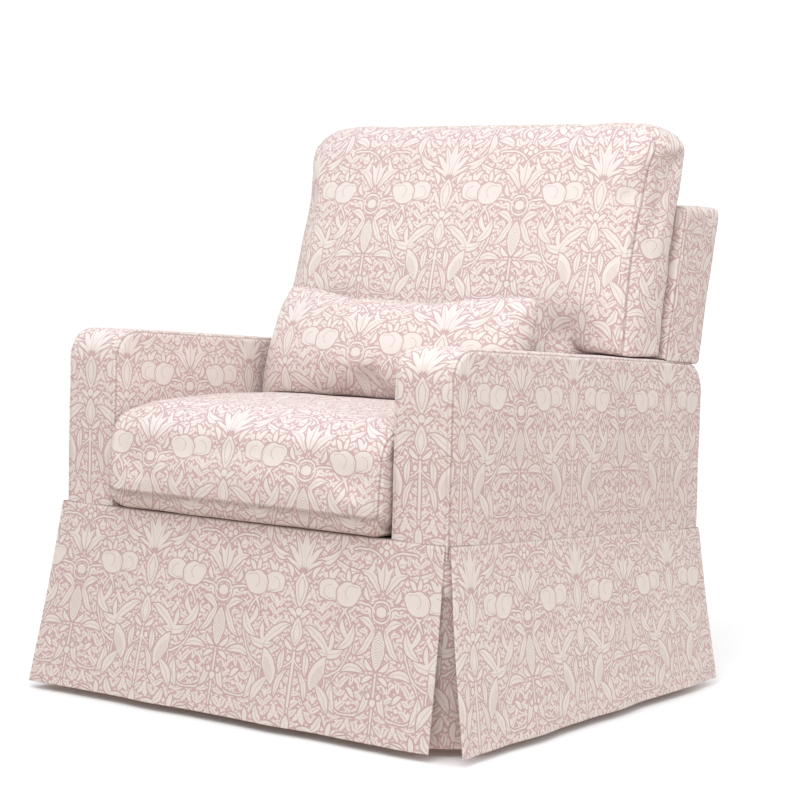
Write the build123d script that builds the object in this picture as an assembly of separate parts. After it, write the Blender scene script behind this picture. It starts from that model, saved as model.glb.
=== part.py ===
"""Skirted swivel glider chair for a nursery, in millimetres.

X runs across the chair, -Y is its front and +Z is up. The origin is on the floor, on the swivel axis.
The chair is three layers: a steel ring base on the floor, a turntable that carries four hanging links,
and an upholstered body that hangs from those links and glides on them.
"""

from build123d import *
import math
import os

# ---- driving dimensions of the upholstered body ----
BODY_WIDTH = 780.0          # over both arms
BODY_DEPTH = 800.0          # front face of the arms to their rear face
FRONT_Y = -410.0            # front face of the arms
ARM_WIDTH = 110.0
ARM_FRONT_Z = 615.5         # top of the arm at its front
SEAM_FRONT_Z = 322.0        # seam where the skirt hangs, at the front
BODY_PITCH = math.tan(math.radians(3.12))   # the body sits back on its mechanism
BACK_LEAN = 0.23            # run over rise of the back
ARM_CORNER_R = 50.0
OVERALL_HEIGHT = 985.0

REAR_Y = FRONT_Y + BODY_DEPTH
HALF_WIDTH = BODY_WIDTH / 2
INNER_X = HALF_WIDTH - ARM_WIDTH            # inner face of each arm
SOFT_GAP = 2.0                              # between a loose cushion and its neighbours

# ---- skirt ----
SKIRT_HEM_Z = 12.0
SKIRT_THICK = 3.0
SKIRT_FRONT_FLARE = 28.0
SKIRT_SIDE_FLARE = 46.0
SKIRT_REAR_FLARE = 6.0
SKIRT_LEDGE = 0.2           # between the skirt's top edge and the body
PLEAT_OPENING = 56.0        # how far the front and rear panels stop short of the corner, at the hem
OPEN_TOP_X = HALF_WIDTH - 8.0               # open edge of those panels, at the seam
OPEN_HEM_X = HALF_WIDTH + SKIRT_SIDE_FLARE - PLEAT_OPENING
PLEAT_TOP_DROP = 86.0       # the pleats' backings hang from the underside of the body
PLEAT_THICK = 2.0
PLEAT_TOP = (70.0, 9.0, 24.0)               # lap and the two bends from the corner, at the top
PLEAT_HEM = (112.0, 31.0, 66.0)

# ---- wooden seat box ----
RAIL_THICK = 25.0
RAIL_TOP_DROP = 14.0        # rails lie this far under the seam plane
RAIL_BOTTOM_DROP = 81.0
BOX_X = INNER_X - 0.5       # outer face of the seat box
FRONT_RAIL_Y = FRONT_Y + 2.0                # front face of the front rail
FRONT_RAIL_REAR_Y = FRONT_RAIL_Y + RAIL_THICK
REAR_RAIL_Y = REAR_Y - 33.0                 # front face of the rear rail
SPRING_RAIL_Y = FRONT_Y + 572.0             # rear rail that the seat springs hook on
SPRING_RAIL_REAR_Y = SPRING_RAIL_Y + RAIL_THICK
STRETCHER_Y = 128.0         # the two stretchers that the mechanism bolts to, fore and aft
STRETCHER_WIDTH = 60.0
STRETCHER_HEIGHT = 40.0
BLOCK_LEG = 58.0            # leg and height of the glue blocks
BLOCK_HEIGHT = 50.0
DECK_TOP_DROP = 2.0
DECK_THICK = 4.0
BORDER_THICK = 1.8          # of the cloth over the front rail
DUST_DROP = RAIL_BOTTOM_DROP + 0.3
DUST_THICK = 1.0

# ---- seat springs ----
SPRING_XS = (-200.0, -100.0, 0.0, 100.0, 200.0)
SPRING_WIRE_R = 1.9
SPRING_DROP = 11.0          # wire centre under the seam plane
SPRING_HALF_WIDTH = 22.0
SPRING_PITCH = 24.0
SPRING_BEND_R = 11.0
SPRING_HOOK = 10.0          # how far each end lies over its rail
SPRING_END_X = 9.0          # sideways offset of the two ends
CLIP_SIDE = 14.0
CLIP_HEIGHT = 6.2

# ---- arms ----
ARM_PAD = 13.0              # padding over the frame's edges
ARM_SIDE_PAD = 12.0
ARM_FRAME_GAP = 1.0
ARM_EDGE_BOARD = 18.0
ARM_SIDE_PANEL = 15.0
ARM_WINDOWS = ((-330.0, -40.0), (20.0, 310.0))
ARM_BOLT_YS = (-290.0, 0.0, 290.0)
ARM_BOLT_R = 4.0
ARM_BOLT_HOLE_R = 4.2
APRON_BOARD_Y = REAR_Y - 20.0
APRON_BOARD_THICK = 12.0
APRON_COVER_Y = REAR_Y - 7.7
APRON_COVER_REAR_Y = REAR_Y - 1.0

# ---- cushions ----
SEAT_CUSHION_TOP = 165.0    # above the seam plane
SEAT_CUSHION_CROWN = 24.0
COVER_THICK = 4.0           # ticking and quilted cover round each foam core
CORE_GAP = 0.4
SEAT_CUSHION_FRONT = FRONT_Y - 24.0
SEAT_CUSHION_REAR = FRONT_Y + 590.0
SEAT_CUSHION_LOW = 1.5
SEAT_CUSHION_FLAT_Y = 105.0     # the back cushion stands on the part behind this
SEAT_CUSHION_CROWN_Y = -165.0
SEAT_CUSHION_FRONT_R = 28.0
SEAT_CUSHION_REAR_R = 16.0
BACK_FRONT_Y = 253.0        # front plane of the back frame, at BACK_FRONT_Z
BACK_FRONT_Z = 580.0
BACK_THICK = 126.0          # along Y
BACK_TOP_Z = 848.0
BACK_PAD = 12.0             # padding round the wooden frame
BACK_GAP = 1.5              # between the back's wings and the arms
WING_HALF = HALF_WIDTH - 2.0
STEM_HALF = INNER_X - 3.0
STEM_REAR_Y = 332.0
STEM_LOW_Z = 306.0
FRAME_OFFSET = 40.0         # of the wooden frame behind the back's front plane
FRAME_THICK = 30.0
FRAME_INSET = BACK_PAD + 2.0
FRAME_BAR = 45.0            # width of the frame's bars
FRAME_WINGS_Z = 594.0       # underside of the frame's wide part
WEBBING_WIDTH = 50.0
WEBBING_THICK = 0.8
STEM_WEBBING_ZS = (420.0, 500.0)
WING_WEBBING_ZS = (650.0, 740.0)
BRACKET_X = 120.0
BRACKET_HALF_WIDTH = 25.0
BRACKET_THICK = 4.0
BRACKET_TOP_Z = STEM_LOW_Z - 6.0
BRACKET_SCREW_Y = 239.0
BRACKET_SCREW_STEP = 13.0
BRACKET_SCREW_R = 2.5
BRACKET_SCREW_HEAD_R = 4.5
BRACKET_SCREW_HOLE_R = 2.6
BACK_CUSHION_DEPTH = 112.0
BACK_CUSHION_CROWN = 14.0
BACK_CUSHION_HALF = 381.0
BACK_CUSHION_CORNER_R = 58.0
BACK_CUSHION_EDGE_R = 38.0
PILLOW_WIDTH = 530.0
PILLOW_HEIGHT = 202.0
PILLOW_THICK = 156.0
PILLOW_EDGE = 10.0          # thickness left at the seamed edge
PILLOW_TAPER = 110.0        # length of the rounded ends
PILLOW_CENTRE = (-5.0, -2.0, 583.5)
PILLOW_LEAN_DEG = 20.7

# ---- swivel base and glide mechanism ----
RING_R = 235.0
RING_TUBE_R = 13.0
PAD_LIFT = 6.0              # underside of the ring above the floor
CROSS_WIDTH = 34.0
CROSS_TOP_Z = 40.0
CROSS_HEIGHT = 20.0
HUB_R = 45.0
HUB_HOLE_R = 16.0
PAD_COUNT = 6
PAD_R = 12.0
PAD_HEIGHT = 12.0
PLATE_SIDE = 170.0
PLATE_THICK = 3.0
PLATE_CORNER_R = 12.0
BALL_R = 3.0
BALL_CIRCLE_R = 60.0
BALL_COUNT = 24
BALL_CENTRE_Z = CROSS_TOP_Z + PLATE_THICK + 1.8
UPPER_PLATE_Z = 2 * BALL_CENTRE_Z - CROSS_TOP_Z - PLATE_THICK
SPINDLE_R = 8.0
SPINDLE_HEAD_R = 14.0
SPINDLE_HEAD_HEIGHT = 8.0
SPINDLE_NUT_FLATS = 24.0
SPINDLE_FIT = 0.05          # radial running clearance of the spindle and the link pins
CARRIAGE_BOTTOM_Z = UPPER_PLATE_Z + PLATE_THICK
CARRIAGE_TUBE_SIDE = 30.0
CARRIAGE_TUBE_HEIGHT = 20.0
CARRIAGE_TUBE_WALL = 2.0
CARRIAGE_TUBE_Y = 62.0
CARRIAGE_X = 200.0          # inner face of the carriage side plates
CARRIAGE_THICK = 4.0
CARRIAGE_HALF = 150.0
CARRIAGE_FOOT_HALF = 92.0
CARRIAGE_SHOULDER_Z = 150.0
LIGHTENING_YS = (-55.0, 0.0, 55.0)
LIGHTENING_Z = 124.0
LIGHTENING_R = 20.0
PIVOT_Y = 130.0             # fore and aft of the swivel axis
LINK_CORNERS = {"front": -PIVOT_Y, "rear": PIVOT_Y}
UPPER_PIVOT_Z = 180.0
LINK_LENGTH = 100.0
LOWER_PIVOT_Z = UPPER_PIVOT_Z - LINK_LENGTH
LINK_X = 211.5              # inner face of each link strap
LINK_THICK = 5.0
LINK_HALF_WIDTH = 15.0
BEARING_X = 210.0
BEARING_WIDTH = 8.0
BEARING_R = 11.0
SEAL_OUTER_R = 9.5
SEAL_INNER_R = 6.8
SEAL_DEPTH = 0.6
PIN_R = 5.0
PIN_COLLAR_R = 7.0
PIN_CAP_LENGTH = 2.0
PIN_CAP_GAP = 0.3
PIN_COLLAR_GAP = 0.5
PIN_HEAD_FLATS = 16.0
PIN_HEAD_LENGTH = 6.0
HANGER_X = 222.0            # inner face of the hanging brackets
HANGER_THICK = 4.0
HANGER_HALF_WIDTH = 20.0
HANGER_FOOT = 16.0          # half width of the bracket at the pivot, and its end below it
HANGER_DROP = RAIL_BOTTOM_DROP + 1.5        # top of the hanging rails under the seam plane
HANGER_FLANGE = 30.0
HANGER_WEB = 24.0
HANGER_BOLT_X = HANGER_X + 18.0
HANGER_BOLT_STEP = 16.0
HANGER_BOLT_R = 3.0
HANGER_HOLE_R = 3.3


def seam_z(y):
    """Height of the skirt seam plane, which falls towards the rear."""
    return SEAM_FRONT_Z - BODY_PITCH * (y - FRONT_Y)


def arm_top(y):
    return ARM_FRONT_Z - BODY_PITCH * (y - FRONT_Y)


def back_front(z):
    """Y of the front plane of the back frame at height z."""
    return BACK_FRONT_Y + BACK_LEAN * (z - BACK_FRONT_Z)


def side_prism(points, x_low, x_high):
    """A solid whose (y, z) outline is extruded from x_low to x_high."""
    outline = make_face(Polyline(*points, close=True))
    return extrude(Plane.YZ.offset(x_low) * outline, amount=x_high - x_low)


def pitched_slab(y_low, y_high, drop_low, drop_high, x_low, x_high):
    """A slab between two planes parallel to the seam plane; drops are measured down from it."""
    outline = [
        (y_low, seam_z(y_low) - drop_high),
        (y_high, seam_z(y_high) - drop_high),
        (y_high, seam_z(y_high) - drop_low),
        (y_low, seam_z(y_low) - drop_low),
    ]
    return side_prism(outline, x_low, x_high)


def box(x_low, x_high, y_low, y_high, z_low, z_high):
    size = (x_high - x_low, y_high - y_low, z_high - z_low)
    centre = ((x_low + x_high) / 2, (y_low + y_high) / 2, (z_low + z_high) / 2)
    return Pos(*centre) * Box(*size)


def rod_x(x_low, x_high, y, z, radius):
    """A cylinder along X."""
    return Pos((x_low + x_high) / 2, y, z) * Rot(0, 90, 0) * Cylinder(radius, abs(x_high - x_low))


def rod_z(x, y, z_low, z_high, radius):
    return Pos(x, y, (z_low + z_high) / 2) * Cylinder(radius, z_high - z_low)


def hexagon_x(x_low, x_high, y, z, across_flats):
    """A hexagonal nut or bolt head with its axis along X."""
    outline = RegularPolygon(across_flats / 2, 6, major_radius=False)
    return extrude(Plane.YZ.offset(x_low) * Pos(y, z) * outline, amount=x_high - x_low)


def hexagon_z(x, y, z_low, z_high, across_flats):
    outline = RegularPolygon(across_flats / 2, 6, major_radius=False)
    return extrude(Pos(x, y, z_low) * outline, amount=z_high - z_low)


def mirrored(shape):
    return mirror(shape, about=Plane.YZ)


def group(solids):
    return Compound(children=[solid for item in solids for solid in item.solids()])


# ---------------------------------------------------------------- swivel base


def base_ring():
    """Tubular floor ring with a welded cross and the hole for the spindle's head."""
    ring = Pos(0, 0, PAD_LIFT + RING_TUBE_R) * Torus(RING_R, RING_TUBE_R)
    low = CROSS_TOP_Z - CROSS_HEIGHT
    half = CROSS_WIDTH / 2
    cross = box(-RING_R, RING_R, -half, half, low, CROSS_TOP_Z)
    cross += box(-half, half, -RING_R, RING_R, low, CROSS_TOP_Z)
    hub = rod_z(0, 0, low, CROSS_TOP_Z, HUB_R)
    return ring + cross + hub - rod_z(0, 0, low - 1, CROSS_TOP_Z + 1, HUB_HOLE_R)


def floor_pads():
    """Moulded pads that cup the underside of the ring."""
    ring = Pos(0, 0, PAD_LIFT + RING_TUBE_R) * Torus(RING_R, RING_TUBE_R)
    pads = []
    for index in range(PAD_COUNT):
        angle = 2 * math.pi * (index + 0.5) / PAD_COUNT
        pad = rod_z(RING_R * math.cos(angle), RING_R * math.sin(angle), 0, PAD_HEIGHT, PAD_R)
        pads.append(pad - ring)
    return group(pads)


def swivel_plate(z_low, spindle_radius):
    """Square pressed plate with a ball groove and the spindle's hole."""
    half = PLATE_SIDE / 2
    plate = box(-half, half, -half, half, z_low, z_low + PLATE_THICK)
    plate = fillet(plate.edges().filter_by(Axis.Z), PLATE_CORNER_R)
    groove = Pos(0, 0, BALL_CENTRE_Z) * Torus(BALL_CIRCLE_R, BALL_R + SPINDLE_FIT)
    return plate - groove - rod_z(0, 0, z_low - 1, z_low + PLATE_THICK + 1, spindle_radius)


def swivel_balls():
    balls = []
    for index in range(BALL_COUNT):
        angle = 2 * math.pi * index / BALL_COUNT
        centre = (BALL_CIRCLE_R * math.cos(angle), BALL_CIRCLE_R * math.sin(angle), BALL_CENTRE_Z)
        balls.append(Pos(*centre) * Sphere(BALL_R))
    return group(balls)


def spindle():
    """Centre bolt: its head is under the lower plate and its nut is over the upper one."""
    upper_face = UPPER_PLATE_Z + PLATE_THICK
    low = CROSS_TOP_Z - SPINDLE_HEAD_HEIGHT
    shank = rod_z(0, 0, low, upper_face + 12, SPINDLE_R)
    head = rod_z(0, 0, low, CROSS_TOP_Z, SPINDLE_HEAD_R)
    nut = hexagon_z(0, 0, upper_face + 0.4, upper_face + 8.4, SPINDLE_NUT_FLATS)
    return head + shank + nut


# ---------------------------------------------------------------- turntable


def carriage_tubes():
    """Two square tubes across the turntable, on the upper swivel plate."""
    half = CARRIAGE_TUBE_SIDE / 2
    bore_half = half - CARRIAGE_TUBE_WALL
    low, high = CARRIAGE_BOTTOM_Z, CARRIAGE_BOTTOM_Z + CARRIAGE_TUBE_HEIGHT
    bore_low, bore_high = low + CARRIAGE_TUBE_WALL, high - CARRIAGE_TUBE_WALL
    tubes = []
    for y in (-CARRIAGE_TUBE_Y, CARRIAGE_TUBE_Y):
        tube = box(-CARRIAGE_X, CARRIAGE_X, y - half, y + half, low, high)
        bore = box(-CARRIAGE_X - 1, CARRIAGE_X + 1, y - bore_half, y + bore_half, bore_low, bore_high)
        tubes.append(tube - bore)
    return group(tubes)


def carriage_plate():
    """Side plate that carries the two upper pivots, with three lightening holes."""
    top = UPPER_PIVOT_Z + 18
    outline = [
        (-CARRIAGE_FOOT_HALF, CARRIAGE_BOTTOM_Z),
        (CARRIAGE_FOOT_HALF, CARRIAGE_BOTTOM_Z),
        (CARRIAGE_HALF, CARRIAGE_SHOULDER_Z),
        (CARRIAGE_HALF, top),
        (-CARRIAGE_HALF, top),
        (-CARRIAGE_HALF, CARRIAGE_SHOULDER_Z),
    ]
    plate = side_prism(outline, CARRIAGE_X, CARRIAGE_X + CARRIAGE_THICK)
    for y in LIGHTENING_YS:
        plate -= rod_x(CARRIAGE_X - 1, CARRIAGE_X + CARRIAGE_THICK + 1, y, LIGHTENING_Z, LIGHTENING_R)
    for y in (-PIVOT_Y, PIVOT_Y):
        plate -= rod_x(CARRIAGE_X - 1, CARRIAGE_X + CARRIAGE_THICK + 1, y, UPPER_PIVOT_Z, PIN_R)
    return plate


def upper_pins():
    """Shoulder pins from the carriage plates out through the links' upper bearings."""
    pins = []
    plate_face = CARRIAGE_X + CARRIAGE_THICK
    cap_x = BEARING_X + BEARING_WIDTH + PIN_CAP_GAP
    for y in (-PIVOT_Y, PIVOT_Y):
        head = hexagon_x(CARRIAGE_X - PIN_HEAD_LENGTH, CARRIAGE_X, y, UPPER_PIVOT_Z, PIN_HEAD_FLATS)
        shank = rod_x(CARRIAGE_X, cap_x + PIN_CAP_LENGTH / 2, y, UPPER_PIVOT_Z, PIN_R)
        collar = rod_x(plate_face, BEARING_X - PIN_COLLAR_GAP, y, UPPER_PIVOT_Z, PIN_COLLAR_R)
        cap = rod_x(cap_x, cap_x + PIN_CAP_LENGTH, y, UPPER_PIVOT_Z, PIN_COLLAR_R)
        pin = head + shank + collar + cap
        pins += [pin, mirrored(pin)]
    return group(pins)


# ---------------------------------------------------------------- glide links


def link_strap(y):
    """Flat strap with two bearing eyes, hanging from the upper pivot."""
    outline = SlotCenterToCenter(LINK_LENGTH, 2 * LINK_HALF_WIDTH, rotation=90)
    middle_z = (UPPER_PIVOT_Z + LOWER_PIVOT_Z) / 2
    strap = extrude(Plane.YZ.offset(LINK_X) * Pos(y, middle_z) * outline, amount=LINK_THICK)
    for z in (UPPER_PIVOT_Z, LOWER_PIVOT_Z):
        strap -= rod_x(LINK_X - 1, LINK_X + LINK_THICK + 1, y, z, BEARING_R)
    return strap


def link_bearings(y):
    """Two sealed bearings pressed in the strap's eyes."""
    bearings = []
    for z in (UPPER_PIVOT_Z, LOWER_PIVOT_Z):
        ring = rod_x(BEARING_X, BEARING_X + BEARING_WIDTH, y, z, BEARING_R)
        ring -= rod_x(BEARING_X - 1, BEARING_X + BEARING_WIDTH + 1, y, z, PIN_R + SPINDLE_FIT)
        seal = rod_x(BEARING_X - 1, BEARING_X + SEAL_DEPTH, y, z, SEAL_OUTER_R)
        seal -= rod_x(BEARING_X - 2, BEARING_X + 1, y, z, SEAL_INNER_R)
        bearings.append(ring - seal)
    return group(bearings)


# ---------------------------------------------------------------- hanging frame under the seat box


def hanger(side_y):
    """One drop bracket of a hanging rail, down to the lower pivot at side_y."""
    top = seam_z(side_y) - RAIL_BOTTOM_DROP - 14
    low = LOWER_PIVOT_Z - HANGER_FOOT
    outline = [
        (side_y - HANGER_HALF_WIDTH, top),
        (side_y + HANGER_HALF_WIDTH, top),
        (side_y + HANGER_FOOT, low),
        (side_y - HANGER_FOOT, low),
    ]
    bracket = side_prism(outline, HANGER_X, HANGER_X + HANGER_THICK)
    return bracket - rod_x(HANGER_X - 1, HANGER_X + HANGER_THICK + 1, side_y, LOWER_PIVOT_Z, PIN_R)


def hanger_rails():
    """Two steel angles bolted under the stretchers, each with its two drop brackets."""
    reach = STRETCHER_Y + STRETCHER_WIDTH / 2
    flange_low = HANGER_DROP + HANGER_THICK
    flange = pitched_slab(-reach, reach, HANGER_DROP, flange_low, HANGER_X, HANGER_X + HANGER_FLANGE)
    web_low = HANGER_DROP + HANGER_WEB
    web = pitched_slab(-reach, reach, HANGER_DROP, web_low, HANGER_X, HANGER_X + HANGER_THICK)
    rail = flange + web + hanger(-PIVOT_Y) + hanger(PIVOT_Y)
    for y in hanger_bolt_ys():
        rail -= hanger_bolt_hole(HANGER_BOLT_X, y)
    return group([rail, mirrored(rail)])


def hanger_bolt_ys():
    """Two bolts in each stretcher."""
    steps = (-HANGER_BOLT_STEP, HANGER_BOLT_STEP)
    return [sign * STRETCHER_Y + step for sign in (-1, 1) for step in steps]


def hanger_bolt_hole(x, y):
    """Drill for one bolt, through the rail's flange, the dust cover and the stretcher."""
    return rod_z(x, y, seam_z(y) - 110, seam_z(y) - RAIL_BOTTOM_DROP + STRETCHER_HEIGHT - 13, HANGER_HOLE_R)


def hanger_bolts():
    bolts = []
    for y in hanger_bolt_ys():
        under = seam_z(y) - HANGER_DROP - HANGER_THICK
        bolt = rod_z(HANGER_BOLT_X, y, under - 0.5, under + 30, HANGER_BOLT_R)
        bolt += hexagon_z(HANGER_BOLT_X, y, under - 6, under - 0.6, 11)
        bolts += [bolt, mirrored(bolt)]
    return group(bolts)


def lower_pins():
    """Pins from the drop brackets in through the links' lower bearings."""
    pins = []
    bracket_face = HANGER_X + HANGER_THICK
    bearing_face = BEARING_X + BEARING_WIDTH
    cap_x = BEARING_X - PIN_CAP_GAP
    for y in (-PIVOT_Y, PIVOT_Y):
        head = hexagon_x(bracket_face, bracket_face + PIN_HEAD_LENGTH, y, LOWER_PIVOT_Z, PIN_HEAD_FLATS)
        shank = rod_x(cap_x - PIN_CAP_LENGTH / 2, bracket_face, y, LOWER_PIVOT_Z, PIN_R)
        collar = rod_x(bearing_face + PIN_COLLAR_GAP, HANGER_X, y, LOWER_PIVOT_Z, PIN_COLLAR_R)
        cap = rod_x(cap_x - PIN_CAP_LENGTH, cap_x, y, LOWER_PIVOT_Z, PIN_COLLAR_R)
        pin = head + shank + collar + cap
        pins += [pin, mirrored(pin)]
    return group(pins)


# ---------------------------------------------------------------- wooden seat box

def arm_bolt_places():
    """(y, z) of the three bolts that hold each arm to the seat box."""
    return [(y, seam_z(y) - 48) for y in ARM_BOLT_YS]


def cut_arm_bolts(shape):
    for y, z in arm_bolt_places():
        shape -= rod_x(BOX_X - 60, BOX_X + 60, y, z, ARM_BOLT_HOLE_R)
    return shape


def cross_rail(y_low, y_high):
    return pitched_slab(y_low, y_high, RAIL_TOP_DROP, RAIL_BOTTOM_DROP, -BOX_X, BOX_X)


def side_rail():
    inside = BOX_X - RAIL_THICK
    rail = pitched_slab(FRONT_RAIL_REAR_Y, REAR_RAIL_Y, RAIL_TOP_DROP, RAIL_BOTTOM_DROP, inside, BOX_X)
    return cut_arm_bolts(rail)


def spring_rail():
    """Rear cross rail that the springs hook on and the back's brackets screw to."""
    inside = BOX_X - RAIL_THICK
    ends = (SPRING_RAIL_Y, SPRING_RAIL_REAR_Y)
    return cut_bracket_screws(pitched_slab(*ends, RAIL_TOP_DROP, RAIL_BOTTOM_DROP, -inside, inside))


def stretchers():
    """Two cross beams that the hanging rails bolt to."""
    low = RAIL_BOTTOM_DROP - STRETCHER_HEIGHT
    half = STRETCHER_WIDTH / 2
    inside = BOX_X - RAIL_THICK
    beams = []
    for y in (-STRETCHER_Y, STRETCHER_Y):
        beam = pitched_slab(y - half, y + half, low, RAIL_BOTTOM_DROP, -inside, inside)
        for bolt_y in hanger_bolt_ys():
            for x in (-HANGER_BOLT_X, HANGER_BOLT_X):
                beam -= hanger_bolt_hole(x, bolt_y)
        beams.append(beam)
    return group(beams)


def corner_blocks():
    """Four glue blocks: behind the front rail and behind the spring rail, against the side rails."""
    x = BOX_X - RAIL_THICK
    blocks = []
    for y in (FRONT_RAIL_REAR_Y, SPRING_RAIL_REAR_Y):
        low = seam_z(y) - RAIL_BOTTOM_DROP + 6
        corners = ((x, y, low), (x, y + BLOCK_LEG, low), (x - BLOCK_LEG, y, low))
        outline = make_face(Polyline(*corners, close=True))
        block = extrude(outline, amount=BLOCK_HEIGHT, dir=(0, 0, 1))
        blocks += [block, mirrored(block)]
    return group(blocks)


def spring_ends():
    """Y of the springs' ends, over the front rail and over the spring rail."""
    return FRONT_RAIL_REAR_Y - SPRING_HOOK, SPRING_RAIL_Y + SPRING_HOOK


def spring_path(x):
    """Zigzag line of one sinuous spring, with its two hooked ends along X."""
    start, end = spring_ends()
    turns = int(round((end - start) / SPRING_PITCH))
    step = (end - start) / turns
    points = [(x - SPRING_END_X, start)]
    side = 1
    for index in range(turns):
        y = start + step * index
        points.append((x + side * SPRING_HALF_WIDTH, y))
        points.append((x + side * SPRING_HALF_WIDTH, y + step))
        side = -side
    points.append((x - side * SPRING_END_X, end))
    return [(px, py, seam_z(py) - SPRING_DROP) for px, py in points]


def seat_springs():
    """Sinuous springs, bent from one wire each."""
    springs = []
    for x in SPRING_XS:
        points = spring_path(x)
        line = FilletPolyline(*points, radius=SPRING_BEND_R)
        start = line @ 0
        ring = Plane(origin=start, z_dir=line % 0) * Circle(SPRING_WIRE_R)
        springs.append(sweep(ring, path=line))
    return group(springs)


def spring_clips():
    """Ten clips that hold the springs' ends on the rails."""
    half = CLIP_SIDE / 2
    clips = []
    for x in SPRING_XS:
        for y in spring_ends():
            z = seam_z(y) - SPRING_DROP
            low = seam_z(y) - RAIL_TOP_DROP + 0.4
            clip = box(x - half, x + half, y - half, y + half, low, low + CLIP_HEIGHT)
            clips.append(clip - rod_x(x - 30, x + 30, y, z, SPRING_WIRE_R + 0.2))
    return group(clips)


def seat_deck():
    """Lining cloth and felt over the springs."""
    low = DECK_TOP_DROP + DECK_THICK
    return pitched_slab(FRONT_RAIL_REAR_Y, SPRING_RAIL_REAR_Y, DECK_TOP_DROP, low, -BOX_X, BOX_X)


def front_rail_cover():
    """Upholstered border that wraps the front rail and turns over its top."""
    rear = FRONT_RAIL_REAR_Y - 0.2
    turned = DECK_TOP_DROP + DECK_THICK
    face = pitched_slab(FRONT_Y, FRONT_Y + BORDER_THICK, DECK_TOP_DROP, RAIL_BOTTOM_DROP, -BOX_X, BOX_X)
    return face + pitched_slab(FRONT_Y, rear, DECK_TOP_DROP, turned, -BOX_X, BOX_X)


def dust_cover():
    """Cambric sheet over the whole underside of the body."""
    half = HALF_WIDTH - 4
    sheet = pitched_slab(FRONT_Y + 6, REAR_Y - 6, DUST_DROP, DUST_DROP + DUST_THICK, -half, half)
    for y in hanger_bolt_ys():
        for x in (-HANGER_BOLT_X, HANGER_BOLT_X):
            sheet -= hanger_bolt_hole(x, y)
    return sheet


# ---------------------------------------------------------------- arms


def arm_outline(inset, open_bottom):
    """Side view of an arm, shrunk by inset; an open bottom runs on below the frame."""
    front, rear = FRONT_Y + inset, REAR_Y - inset
    low = RAIL_BOTTOM_DROP + (40 if open_bottom else -inset)
    points = [
        (front, seam_z(front) - low),
        (rear, seam_z(rear) - low),
        (rear, arm_top(rear) - inset),
        (front, arm_top(front) - inset),
    ]
    face = make_face(Polyline(*points, close=True))
    tops = face.vertices().sort_by(Axis.Y)[-2:]
    return fillet(tops, max(ARM_CORNER_R - inset, 6))


def arm_solid(inset, side_inset, open_bottom=False):
    depth = ARM_WIDTH - 2 * side_inset
    outline = Plane.YZ.offset(INNER_X + side_inset) * arm_outline(inset, open_bottom)
    return extrude(outline, amount=depth)


def arm_cover():
    """Padded cover of one arm: a shell open underneath, where the frame goes in."""
    cover = arm_solid(0, 0) - arm_solid(ARM_PAD, ARM_SIDE_PAD, open_bottom=True)
    return cut_arm_bolts(cover)


def arm_frame():
    """Plywood arm: two side panels with windows, joined by front, rear, top and bottom boards."""
    outside = ARM_PAD + ARM_FRAME_GAP
    side_outside = ARM_SIDE_PAD + 2 * ARM_FRAME_GAP
    frame = arm_solid(outside, side_outside)
    frame -= arm_solid(outside + ARM_EDGE_BOARD, side_outside + ARM_SIDE_PANEL)
    window_top = arm_top(0) - 110
    window_low = seam_z(0) - 6
    for y_low, y_high in ARM_WINDOWS:
        outline = [(y_low, window_low), (y_high, window_low), (y_high, window_top), (y_low, window_top)]
        frame -= side_prism(outline, INNER_X, HALF_WIDTH)
    return cut_arm_bolts(frame)


def arm_bolts():
    inside = BOX_X - RAIL_THICK
    bolts = []
    for y, z in arm_bolt_places():
        bolt = hexagon_x(inside - 6, inside - 0.3, y, z, 13)
        bolt += rod_x(inside - 1, INNER_X + 34, y, z, ARM_BOLT_R)
        bolts += [bolt, mirrored(bolt)]
    return group(bolts)


# ---------------------------------------------------------------- back

def back_band(front_offset, thickness, z_low, z_high, x_half):
    """A leaning slab parallel to the back, between two level planes."""
    points = [
        (back_front(z_low) + front_offset, z_low),
        (back_front(z_low) + front_offset + thickness, z_low),
        (back_front(z_high) + front_offset + thickness, z_high),
        (back_front(z_high) + front_offset, z_high),
    ]
    return side_prism(points, -x_half, x_half)


def back_cover():
    """Upholstered back with the frame's pocket: a wide part over the arms, and a stem between them."""
    front_low = arm_top(BACK_FRONT_Y) + BACK_GAP
    rear_low = arm_top(BACK_FRONT_Y + BACK_THICK) + BACK_GAP
    wide = [
        (back_front(front_low), front_low),
        (back_front(rear_low) + BACK_THICK, rear_low),
        (back_front(BACK_TOP_Z) + BACK_THICK, BACK_TOP_Z),
        (back_front(BACK_TOP_Z), BACK_TOP_Z),
    ]
    stem = [
        (back_front(STEM_LOW_Z), STEM_LOW_Z),
        (STEM_REAR_Y, STEM_LOW_Z),
        (STEM_REAR_Y, front_low + 4),
        (back_front(front_low + 4), front_low + 4),
    ]
    cover = side_prism(wide, -WING_HALF, WING_HALF)
    cover = fillet(cover.edges().filter_by(Axis.X).group_by(Axis.Z)[-1], 8)
    cover += side_prism(stem, -STEM_HALF, STEM_HALF)
    depth = (FRAME_OFFSET - 1, FRAME_THICK + 2)
    pocket = back_band(*depth, STEM_LOW_Z - 5, FRAME_WINGS_Z + 16, STEM_HALF - BACK_PAD)
    pocket += back_band(*depth, FRAME_WINGS_Z - 2, BACK_TOP_Z - BACK_PAD, WING_HALF - BACK_PAD)
    return cover - pocket


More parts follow.
